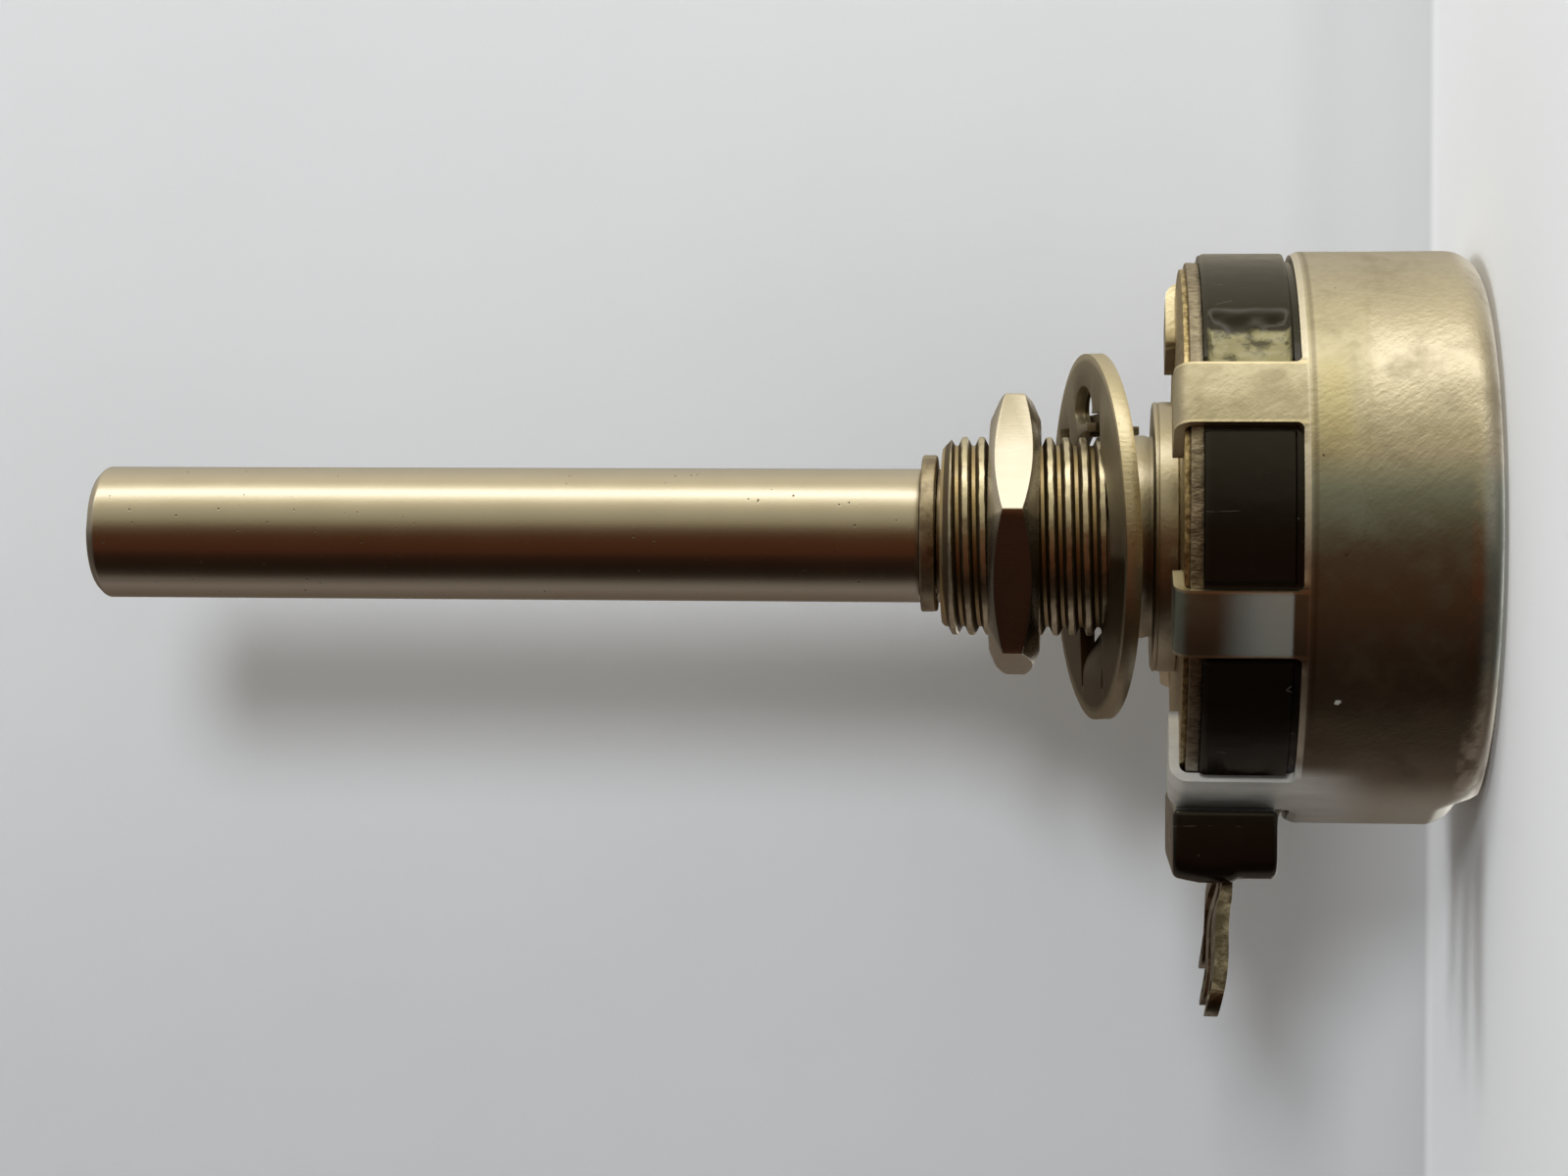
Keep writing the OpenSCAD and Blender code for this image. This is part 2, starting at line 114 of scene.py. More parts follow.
def soften(bm, width, segments=2, sharp=30, where=None):
    """Rounds the edges whose faces meet at more than the sharp angle."""
    edges = [e for e in bm.edges if len(e.link_faces) == 2
             and e.calc_face_angle(0) > math.radians(sharp) and (where is None or where(e))]
    bmesh.ops.bevel(bm, geom=edges, offset=width, segments=segments, affect="EDGES",
                    profile=0.5, material=-1, clamp_overlap=True)


def open_loop(bm, level):
    """The open edges of a mesh that lie at one level."""
    return [e for e in bm.edges if e.is_boundary
            and all(abs(v.co.z - level) < 1e-3 for v in e.verts)]


def carry_on(bm, edges, outline):
    """Continues a surface of revolution from a loop of open edges through more points."""
    for radius, level in outline:
        made = bmesh.ops.extrude_edge_only(bm, edges=edges)["geom"]
        verts = [g for g in made if isinstance(g, bmesh.types.BMVert)]
        for v in verts:
            now = math.hypot(v.co.x, v.co.y)
            v.co = (v.co.x * radius / now, v.co.y * radius / now, level)
        fresh = set(verts)
        edges = [g for g in made if isinstance(g, bmesh.types.BMEdge)
                 and all(v in fresh for v in g.verts)]
    return edges


def copy_of(node):
    """A merged copy of a CAD node's mesh, in millimetres, with its flat faces whole again."""
    bm = bmesh.new()
    bm.from_mesh(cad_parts[node].data)
    bmesh.ops.scale(bm, vec=(1 / MM,) * 3, verts=bm.verts)
    bmesh.ops.remove_doubles(bm, verts=bm.verts, dist=1e-3)
    bmesh.ops.dissolve_limit(bm, angle_limit=math.radians(1), verts=bm.verts, edges=bm.edges)
    return bm


def cut(bm, tool, operation="DIFFERENCE"):
    """Combines two closed meshes and returns the result as a fresh one."""
    objects = []
    for part in (bm, tool):
        bmesh.ops.recalc_face_normals(part, faces=part.faces)
        mesh = bpy.data.meshes.new("work")
        part.to_mesh(mesh)
        part.free()
        objects.append(bpy.data.objects.new("work", mesh))
        scene.collection.objects.link(objects[-1])
    body, other = objects
    step = body.modifiers.new("work", "BOOLEAN")
    step.operation, step.object, step.solver = operation, other, "EXACT"
    bpy.context.view_layer.update()
    shown = body.evaluated_get(bpy.context.evaluated_depsgraph_get())
    result = bmesh.new()
    result.from_mesh(shown.to_mesh())
    shown.to_mesh_clear()
    for obj in objects:
        mesh = obj.data
        bpy.data.objects.remove(obj)
        bpy.data.meshes.remove(mesh)
    return result


def slice_through(bm, place, normal, **side):
    """Cuts every face along a plane; clear_inner or clear_outer also drops one side of it."""
    bmesh.ops.bisect_plane(bm, geom=list(bm.verts) + list(bm.edges) + list(bm.faces),
                           dist=1e-4, plane_co=place, plane_no=normal, **side)


def block(low, high):
    """A closed box between two corners."""
    bm = bmesh.new()
    bmesh.ops.create_cube(bm, size=1)
    low, high = Vector(low), Vector(high)
    bmesh.ops.scale(bm, vec=high - low, verts=bm.verts)
    bmesh.ops.translate(bm, vec=(low + high) / 2, verts=bm.verts)
    return bm


def piece(name, bm, finish, body, stands_for=(), sharp=32):
    """Finishes a mesh as a piece of the model that rides on one of its bodies."""
    bmesh.ops.remove_doubles(bm, verts=bm.verts, dist=2e-4)
    bmesh.ops.recalc_face_normals(bm, faces=bm.faces)
    bmesh.ops.scale(bm, vec=(MM,) * 3, verts=bm.verts)
    mesh = bpy.data.meshes.new(name)
    bm.to_mesh(mesh)
    bm.free()
    mesh.shade_smooth()
    mesh.set_sharp_from_angle(angle=math.radians(sharp))
    mesh.materials.append(finish)
    obj = bpy.data.objects.new(name, mesh)
    scene.collection.objects.link(obj)
    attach(obj, body)
    if stands_for:
        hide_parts(*stands_for)
    return obj


# ---------------------------------------------------------------- material helpers

class Wire:
    """One output of a material's nodes. Python's operators on it add Math nodes."""

    def __init__(self, graph, socket):
        self.graph, self.socket = graph, socket

    def math(self, operation, *values):
        """Adds one Math node on wires or plain numbers."""
        return self.graph.add("ShaderNodeMath", {"operation": operation}, dict(enumerate(values)))

    def __add__(self, other): return self.math("ADD", self, other)
    def __radd__(self, other): return self.math("ADD", other, self)
    def __sub__(self, other): return self.math("SUBTRACT", self, other)
    def __rsub__(self, other): return self.math("SUBTRACT", other, self)
    def __mul__(self, other): return self.math("MULTIPLY", self, other)
    def __rmul__(self, other): return self.math("MULTIPLY", other, self)
    def __truediv__(self, other): return self.math("DIVIDE", self, other)
    def __abs__(self): return self.math("ABSOLUTE", self)

    def most(self, other): return self.math("MAXIMUM", self, other)
    def root(self): return self.math("SQRT", self)

    def ease(self, low, high):
        """0 at low and 1 at high, smooth in between; low may be the larger."""
        if low > high:
            return 1 - self.ease(high, low)
        return self.graph.add("ShaderNodeMapRange", {"interpolation_type": "SMOOTHSTEP"},
                              {"Value": self, "From Min": low, "From Max": high})

    def near(self, centre, half, fade):
        """1 within half of a value, fading to 0 over the fade beyond it."""
        return abs(self - centre).ease(half + fade, half)

    def tint(self, low, high):
        """A colour between two others, by this value."""
        return self.graph.add("ShaderNodeMix", {"data_type": "RGBA"},
                              {"Factor": self, 6: low, 7: high}, 2)


class Nodes:
    """The node tree of a material or a world, filled through one method."""

    def __init__(self, owner):
        owner.use_nodes = True
        self.nodes, self.links = owner.node_tree.nodes, owner.node_tree.links
        self.nodes.clear()

    def put(self, socket, value):
        """Links a wire to a socket, or sets a plain value on it."""
        if isinstance(value, Wire):
            self.links.new(value.socket, socket)
        elif hasattr(value, "__len__") and len(value) == 3 and socket.type == "RGBA":
            socket.default_value = (*value, 1)
        else:
            socket.default_value = value

    def add(self, kind, settings, values, out=0):
        """Adds any node: its settings first, then its sockets, and returns one output."""
        node = self.nodes.new(kind)
        for key, value in settings.items():
            if key == "stops":
                ramp = node.color_ramp
                while len(ramp.elements) < len(value):
                    ramp.elements.new(1)
                for element, (at, colour) in zip(ramp.elements, value):
                    element.position, element.color = at, (*colour, 1)
            else:
                setattr(node, key, value)
        for key, value in values.items():
            self.put(node.inputs[key], value)
        return Wire(self, node.outputs[out]) if len(node.outputs) else node


class Finish(Nodes):
    """A procedural material. place is the object's own position in millimetres."""

    def __init__(self, name, **plain):
        self.material = bpy.data.materials.new(name)
        super().__init__(self.material)
        self.surface = self.add("ShaderNodeBsdfPrincipled", {}, {})
        self.end = self.add("ShaderNodeOutputMaterial", {}, {"Surface": self.surface})
        for socket, value in plain.items():
            self.set(socket.replace("_", " "), value)
        coords = self.add("ShaderNodeTexCoord", {}, {}, "Object")
        self.place = self.stretch(coords, (1000, 1000, 1000))
        self.x, self.y, self.z = (self.add("ShaderNodeSeparateXYZ", {}, {0: self.place}, i)
                                  for i in range(3))
        self.height = None

    def set(self, socket, value):
        """Feeds one socket of the material's shader."""
        self.put(self.surface.socket.node.inputs[socket], value)

    def stretch(self, vector, by):
        """Scales a position along each axis: below 1 draws a pattern out, above 1 packs it."""
        return self.add("ShaderNodeVectorMath", {"operation": "MULTIPLY"}, {0: vector, 1: by})

    def cloud(self, size, detail=3, rough=0.55, at=None, twist=0.0):
        """Noise from 0 to 1 with features of that size in millimetres."""
        return self.add("ShaderNodeTexNoise", {},
                        {"Vector": at or self.place, "Scale": 1 / size, "Detail": detail,
                         "Roughness": rough, "Distortion": twist})

    def grains(self, size, at=None, feature="F1"):
        """Distance from scattered points, or edges, about that many millimetres apart."""
        return self.add("ShaderNodeTexVoronoi", {"feature": feature},
                        {"Vector": at or self.place, "Scale": 1 / size}, "Distance")

    def radius(self):
        """Distance from the shaft's axis."""
        return (self.x * self.x + self.y * self.y).root()

    def angle(self):
        """Angle about the shaft, in radians."""
        return self.y.math("ARCTAN2", self.y, self.x)

    def bump(self, height, depth):
        """Raises the surface by height times a depth in millimetres; may be called again."""
        values = {"Height": height, "Strength": 1.0, "Distance": depth * MM}
        if self.height:
            values["Normal"] = self.height
        self.height = self.add("ShaderNodeBump", {}, values)
        self.set("Normal", self.height)


def toned(mask, colour, over):
    """Lays a colour over another where the mask is 1."""
    return mask.tint(over, colour)


# ---------------------------------------------------------------- finishes

def turned_steel():
    """Fine turned steel, grey with a warm cast, lightly pitted all over."""
    f = Finish("turned_steel", Metallic=1.0)
    patch = f.cloud(2.5, 4)
    fine = f.cloud(0.16, 2)
    lathe_lines = f.cloud(0.10, 2, at=f.stretch(f.place, (0.02, 0.02, 1)))
    pits = f.grains(0.55).ease(0.13, 0.05) * f.cloud(1.1, 2).ease(0.50, 0.62)
    colour = patch.tint((0.60, 0.575, 0.53), (0.68, 0.655, 0.61))
    colour = toned(pits * 0.8, (0.10, 0.075, 0.055), colour)
    f.set("Base Color", colour)
    f.set("Roughness", 0.17 + patch * 0.07 + fine * 0.07 + pits * 0.3)
    f.bump(fine * 0.6 + lathe_lines * 0.4, 0.0035)
    f.bump(pits, -0.01)
    return f.material


def spring_steel():
    """Dark, slightly rusty spring steel of the clip."""
    f = Finish("spring_steel", Metallic=1.0)
    patch = f.cloud(0.8, 4)
    f.set("Base Color", patch.ease(0.35, 0.65).tint((0.30, 0.255, 0.20), (0.52, 0.47, 0.38)))
    f.set("Roughness", 0.30 + patch * 0.2)
    f.bump(f.cloud(0.2, 3), 0.008)
    return f.material


def thread_plate():
    """Nickel plate over brass: warm grey, golden where the crests have worn, with painted shade
    on the thread's flanks.
    """
    f = Finish("thread_plate", Metallic=1.0)
    patch = f.cloud(0.9, 4)
    thread = f.z.ease(1.5, 1.8)
    crest = f.radius().ease(4.60, 4.66) * thread
    root = f.radius().ease(4.34, 4.29) * thread
    # Painted shade on the flanks between crest and root, which are also made rougher.
    flank_shade = f.radius().near(4.45, 0.11, 0.06) * thread
    neck = f.radius().near(4.55, 0.10, 0.08) * f.z.near(0.9, 0.6, 0.2)
    colour = patch.tint((0.52, 0.485, 0.41), (0.64, 0.605, 0.52))
    colour = toned(crest * patch.ease(0.3, 0.6) * 0.8, (0.86, 0.81, 0.66), colour)
    colour = toned(root * (0.5 + patch.ease(0.35, 0.55) * 0.4), (0.60, 0.47, 0.25), colour)
    colour = toned(neck * 0.9, (0.84, 0.66, 0.40), colour)
    colour = toned(flank_shade * 0.85, (0.10, 0.07, 0.04), colour)
    scratch = (f.grains(1.1, at=f.stretch(f.place, (0.5, 0.25, 2.2))).ease(0.06, 0.02)
               * f.z.near(-0.6, 0.6, 0.1))
    colour = toned(scratch * 0.8, (0.05, 0.04, 0.03), colour)
    f.set("Base Color", colour)
    f.set("Roughness", 0.24 + patch * 0.16 + flank_shade * 0.25)
    f.bump(f.cloud(0.22, 3), 0.010)
    return f.material


def nut_plate():
    """Bright nickel plate with fine drawn lines on the flats, and painted shade on the flat that
    faces about -21 degrees.
    """
    f = Finish("nut_plate", Metallic=1.0)
    patch = f.cloud(1.6, 3)
    drawn = f.cloud(0.12, 2, at=f.stretch(f.place, (1, 1, 0.06)))
    colour = patch.tint((0.62, 0.60, 0.56), (0.70, 0.68, 0.64))
    # Painted shade: the flat facing about -21 degrees about the shaft is made darker.
    facet_shade = f.angle().near(math.radians(-21), 0.48, 0.04)
    f.set("Base Color", toned(facet_shade * 0.65, (0.26, 0.27, 0.28), colour))
    f.set("Roughness", 0.20 + patch * 0.10 + drawn * 0.05)
    f.bump(drawn, 0.002)
    f.bump(f.cloud(0.25, 3), 0.003)
    return f.material


def washer_plate():
    """Dull pressed sheet: grained faces and a sheared edge with fine cross marks, with painted
    shade on the walls of its openings, on its lower tongue and over its lower half.
    """
    f = Finish("washer_plate", Metallic=1.0)
    patch = f.cloud(1.8, 4)
    grain = f.cloud(0.22, 3)
    edge = f.radius().ease(8.2, 8.45)
    sheared = f.cloud(0.16, 2, at=f.stretch(f.place, (1, 1, 0.25)))
    colour = patch.tint((0.40, 0.37, 0.315), (0.50, 0.465, 0.40))
    colour = toned(edge * 0.8, (0.80, 0.75, 0.60), colour)
    colour = toned(grain.ease(0.58, 0.75) * 0.35, (0.18, 0.15, 0.11), colour)
    level = (f.z - 2.6) * 0.98 + f.x * 0.199 + f.y * 0.033
    # Painted shade on the walls of the openings through the sheet.
    wall_shade = level.near(-0.4, 0.66, 0.04) * (1 - f.radius().ease(8.0, 8.2))
    colour = toned(wall_shade * 0.85, (0.07, 0.05, 0.03), colour)
    # Painted shade on the lower tongue where it bends away behind.
    bent = abs(f.x).ease(2.3, 2.1) * f.y.ease(-6.5, -5.7) * f.y.ease(-4.0, -4.5)
    colour = toned(bent * 0.9, (0.05, 0.035, 0.02), colour)
    # Painted shade: the washer is darker towards its lower half.
    lower = f.y.ease(-2.0, -6.0)
    colour = toned(lower * 0.5, (0.22, 0.18, 0.12), colour)
    f.set("Base Color", colour)
    f.set("Roughness", 0.42 + patch * 0.12 - edge * 0.12)
    f.bump(grain, 0.008)
    f.bump(sheared * edge, 0.012)
    return f.material


def sheared_steel():
    """The plate over the base: dull faces and a torn, rough edge."""
    f = Finish("sheared_steel", Metallic=1.0)
    torn = f.cloud(0.22, 4, at=f.stretch(f.place, (1, 1, 0.5)))
    patch = f.cloud(1.5, 4)
    f.set("Base Color", (torn * 0.6 + patch * 0.4).ease(0.3, 0.7)
          .tint((0.22, 0.195, 0.16), (0.58, 0.53, 0.45)))
    f.set("Roughness", 0.38 + torn * 0.2)
    f.bump(torn, 0.05)
    return f.material


def thin_brass():
    """Thin tarnished sheet, golden on its edge."""
    f = Finish("thin_brass", Metallic=1.0)
    torn = f.cloud(0.3, 4)
    f.set("Base Color", torn.ease(0.35, 0.65).tint((0.34, 0.27, 0.15), (0.74, 0.63, 0.40)))
    f.set("Roughness", 0.32 + torn * 0.15)
    f.bump(torn, 0.02)
    return f.material


def can_plate():
    """Tinned can: brushed on the slant, worn smoother along its rim under a painted highlight,
    stained by old lacquer, with painted shade low on the side facing +X and a painted highlight
    and shadow at the lip.
    """
    f = Finish("can_plate", Metallic=1.0)
    slant = f.add("ShaderNodeVectorRotate", {"rotation_type": "X_AXIS"},
                  {"Vector": f.place, "Angle": math.radians(-42)})
    brushed = f.cloud(0.24, 3, at=f.stretch(slant, (1, 1, 0.30)))
    wide = f.cloud(4.5, 4)
    mottle = f.cloud(1.2, 4, 0.6)
    angle = f.angle()
    side = f.x.ease(-1, 2)
    # Lacquer run down from the mouth beside the first tab, with a ring where it dried.
    ragged = (f.cloud(2.2, 3) - 0.5) * 2.4
    front = (f.z + 9.0 + ragged * 0.4 + f.y * 0.06) * -1
    fall = (f.y - 5.2 + ragged * 0.35).near(0, 4.6, 1.2)
    stain = front.ease(0.5, -0.9) * fall * side
    ring = front.near(-0.25, 0.05, 0.16) * fall * side
    lower = (f.z + 8.1 + ragged * 0.5).ease(-0.6, 0.8) * (f.y + 4).near(0, 7, 2) * side
    grime = f.cloud(2.6, 5, 0.62).ease(0.46, 0.70)
    # Painted shade: a cooler, darker tone across the middle of the side facing +X, and darker
    # again lower down.
    shade = f.y.near(-2.0, 3.4, 2.4) * side
    low_side_shade = f.y.ease(-5.0, -8.0) * side
    colour = wide.tint((0.62, 0.59, 0.515), (0.72, 0.69, 0.61))
    colour = toned(brushed.ease(0.35, 0.75) * 0.30, (0.50, 0.46, 0.37), colour)
    colour = toned(grime * 0.40, (0.36, 0.325, 0.26), colour)
    colour = toned(stain * (0.22 + mottle * 0.3), (0.54, 0.51, 0.35), colour)
    colour = toned(ring * 0.12, (0.34, 0.29, 0.17), colour)
    pool = (f.z + ragged * 0.25).near(-7.6, 0.3, 0.9) * (f.y + ragged * 0.4).near(5.6, 0.8, 2.2)
    colour = toned(pool * side * 0.42, (0.60, 0.55, 0.29), colour)
    colour = toned(lower * 0.30, (0.42, 0.37, 0.24), colour)
    # The painted shade from the two masks above.
    colour = toned(shade * 0.85, (0.37, 0.46, 0.46), colour)
    colour = toned(low_side_shade * 0.75, (0.30, 0.27, 0.23), colour)
    # Painted shade: a darker band low on the side facing +X.
    under = f.y.near(-10.2, 0.6, 1.6) * side
    colour = toned(under * 0.6, (0.14, 0.11, 0.09), colour)
    specks = f.grains(1.5).ease(0.055, 0.03) * f.cloud(2.0, 1).ease(0.5, 0.6)
    colour = toned(specks * 0.7, (0.06, 0.04, 0.03), colour)
    # Painted highlight along the rim, where the can is also worn smoother.
    rubbed_highlight = f.z.near(-13.9, 0.35, 0.35) * f.cloud(1.0, 3).ease(0.35, 0.55) * f.y.ease(4, 1)
    colour = toned(rubbed_highlight * 0.35, (0.90, 0.87, 0.80), colour)
    foot = f.y.ease(-10.6, -12.5) * side
    colour = toned(foot * 0.6, (0.88, 0.94, 0.96), colour)
    # Cut edges of the tabs are worn bright; the rounded lip between them gets a painted
    # highlight, with a painted shadow just behind it.
    cut_edge, on_tab = 0, 0
    for degrees in TAB_ANGLES:
        c, s = math.cos(math.radians(degrees)), math.sin(math.radians(degrees))
        across = abs(f.y * c - f.x * s)
        outward = (f.x * c + f.y * s).ease(8.5, 9.0) * f.z.ease(-6.7, -6.4)
        cut_edge = cut_edge + across.near(1.50, 0.07, 0.06) * outward
        on_tab = on_tab + across.ease(1.9, 1.6) * outward
    lip = f.z.ease(-6.62, -6.54) * f.radius().ease(13.0, 13.1) * (1 - on_tab)
    lip_shadow = f.z.near(-6.80, 0.04, 0.12) * (1 - on_tab)
    colour = toned(lip_shadow * 0.5, (0.25, 0.22, 0.18), colour)
    colour = toned(lip * 0.85, (0.97, 0.95, 0.90), colour)
    colour = toned(cut_edge * 0.7, (0.92, 0.85, 0.66), colour)
    chip = f.add("ShaderNodeVectorMath", {"operation": "DISTANCE"},
                 {0: f.place, 1: (11.2, -7.36, -7.9)}, "Value") + f.cloud(0.2, 1) * 0.16
    chip = chip.ease(0.24, 0.18)
    colour = toned(chip, (0.26, 0.25, 0.22), colour)
    # Two tabs are smeared grey, where they lie over the base and beside the lugs.
    smear = angle.near(math.radians(-17.5), 0.095, 0.02) * f.z.ease(-2.4, -5.2)
    smear = smear * f.z.ease(-5.95, -5.75) * 0.5
    lug_side = angle.ease(math.radians(-49), math.radians(-56)) * f.z.ease(-10.5, -6.3)
    streaks = f.cloud(0.7, 3, at=f.stretch(f.place, (1, 1, 0.2)))
    colour = toned(smear * side, (0.24, 0.17, 0.10), colour)
    colour = toned(lug_side * side, streaks.tint((0.28, 0.27, 0.24), (0.56, 0.54, 0.51)), colour)
    f.set("Metallic", 1 - chip.most(smear * side * 0.65).most(lug_side * side * 0.85))
    f.set("Base Color", colour)
    f.set("Roughness", 0.27 + mottle * 0.13 + grime * 0.12 + stain * 0.12 - rubbed_highlight * 0.10)
    f.bump((brushed * 0.7 + f.cloud(0.16, 2) * 0.3) * (1 - (shade + low_side_shade) * 0.7), 0.030)
    f.bump(f.cloud(1.1, 3), 0.012)
    f.bump(ring, 0.008)
    return f.material


def bakelite():
    """Glossy black moulding with a faint brown cast, hairline scratches, dust and a painted amber
    reflection in the hollow above the first tab.
    """
    f = Finish("bakelite", IOR=1.5)
    lump = f.cloud(1.5, 2)
    hair = f.grains(3.0, at=f.stretch(f.place, (1, 1.7, 0.5)), feature="DISTANCE_TO_EDGE")
    scratch = hair.ease(0.010, 0.003) * f.cloud(1.2, 2).ease(0.55, 0.65)
    dust = f.grains(0.9).ease(0.05, 0.03) * f.cloud(1.5, 1).ease(0.58, 0.66)
    colour = f.cloud(2.0, 3).tint((0.0016, 0.0010, 0.0006), (0.0036, 0.0024, 0.0016))
    colour = toned(dust * 0.25, (0.20, 0.19, 0.17), colour)
    # A painted reflection of the warm window lies, amber and lumpy, in the hollow above the first
    # tab.
    turn = f.angle() * (180 / math.pi)
    inside = (turn + f.cloud(0.8, 3) * 2.4).ease(45.5, 44.0) * turn.ease(33.0, 34.5)
    inside = inside * f.z.near(-4.05, 1.65, 0.25) * f.x.ease(5, 6)
    patchy_reflection = f.cloud(1.0, 4, 0.6, twist=0.2).ease(0.32, 0.52)
    colour = toned(inside * (0.15 + patchy_reflection * 0.75), (0.34, 0.30, 0.15), colour)
    f.set("Base Color", toned(scratch * 0.3, (0.12, 0.10, 0.08), colour))
    f.set("Roughness", 0.13 + f.cloud(0.9, 4).ease(0.4, 0.7) * 0.12 + scratch * 0.2)
    f.bump(lump, 0.03)
    f.bump(f.cloud(0.3, 2), 0.003)
    return f.material


def old_solder():
    """Tinned lug: dull grey, with bright runs of old solder and dark flux in between."""
    f = Finish("old_solder", Metallic=1.0)
    runs = f.cloud(0.9, 4, 0.6, twist=0.6)
    flux = f.cloud(0.6, 4)
    colour = runs.ease(0.40, 0.68).tint((0.17, 0.16, 0.13), (0.50, 0.49, 0.45))
    colour = toned(flux.ease(0.58, 0.72) * 0.7, (0.12, 0.09, 0.06), colour)
    f.set("Base Color", colour)
    f.set("Roughness", 0.26 + flux * 0.25)
    f.bump(runs, 0.05)
    f.bump(f.cloud(0.22, 3), 0.02)
    return f.material


def plain_metal(name, dark, light, rough):
    """A small hidden metal part with uneven tarnish."""
    size = 1.2
    f = Finish(name, Metallic=1.0)
    patch = f.cloud(size, 4)
    f.set("Base Color", patch.tint(dark, light))
    f.set("Roughness", rough + patch * 0.15)
    f.bump(f.cloud(size / 5, 3), 0.006)
    return f.material


def plain_solid(name, dark, light, rough):
    """A hidden moulding, board or film with fibres or grain."""
    size = 1.0
    f = Finish(name)
    fibre = f.cloud(size, 4, at=f.stretch(f.place, (1, 3, 1)))
    f.set("Base Color", fibre.tint(dark, light))
    f.set("Roughness", rough + fibre * 0.2)
    f.bump(f.cloud(size / 4, 3), 0.01)
    return f.material


# ---------------------------------------------------------------- shaft and clip

def shaft():
    """One turned bar: chamfered tip, clip groove, inner flange and a flatted, riveted end."""
    drive_r, flange_r, groove_r, head_r = 2.625, 4.4, 2.755, 3.175
    bm = lathe([(0, SHAFT_TIP), (1.4, SHAFT_TIP), (2.775, SHAFT_TIP), (SHAFT_R, SHAFT_TIP - 0.4),
                (SHAFT_R, 44), (SHAFT_R, 34), (SHAFT_R, 24), (SHAFT_R, 14),
                (SHAFT_R, CLIP_FRONT + 0.05), (groove_r, CLIP_FRONT + 0.05),
                (groove_r, CLIP_BACK - 0.05), (SHAFT_R, CLIP_BACK - 0.05),
                (SHAFT_R, -3.1), (flange_r, -3.1), (flange_r, -3.9), (drive_r, -3.9),
                (drive_r, -8.2), (head_r, -8.2), (head_r, -8.8), (0, -8.8)], 160)
    soften(bm, 0.12, 3, 20, lambda e: e.verts[0].co.z > 40)
    soften(bm, 0.05, 2, 40, lambda e: e.verts[0].co.z < 40)
    for v in bm.verts:
        if -8.22 < v.co.z < -3.88 and math.hypot(v.co.x, v.co.y) < drive_r + 0.02:
            v.co.x = min(1.9, max(-1.9, v.co.x))
        elif v.co.z > 50.2:  # knocks on the end's edge
            knock = max(0, wander(v.co, 0.8, 4) - 0.35) * 0.22
            v.co -= Vector((v.co.x, v.co.y, 1.5)) * knock * 0.1
    return piece("shaft_bar", bm, turned_steel(), "rotor", ("shaft",), 40)


def clip():
    """An open ring sprung into the shaft's groove, its mouth downwards."""
    inner, outer, mouth = 2.80, 3.84, 19.0
    bm = bmesh.new()
    section = [bm.verts.new((r, 0, z)) for r, z in
               ((inner, CLIP_BACK), (outer, CLIP_BACK), (outer, CLIP_FRONT), (inner, CLIP_FRONT))]
    face = bm.faces.new(section)
    sweep = math.radians(360 - 2 * mouth)
    bmesh.ops.rotate(bm, verts=bm.verts, cent=(0, 0, 0),
                     matrix=Matrix.Rotation(math.radians(-90 + mouth), 3, "Z"))
    bmesh.ops.spin(bm, geom=[face] + list(bm.edges) + section, cent=(0, 0, 0),
                   axis=(0, 0, 1), angle=sweep, steps=96)
    bmesh.ops.recalc_face_normals(bm, faces=bm.faces)
    soften(bm, 0.11, 3, 50)
    return piece("clip_ring", bm, spring_steel(), "rotor", ("retaining_clip",), 50)


# ---------------------------------------------------------------- bush, nut, washer

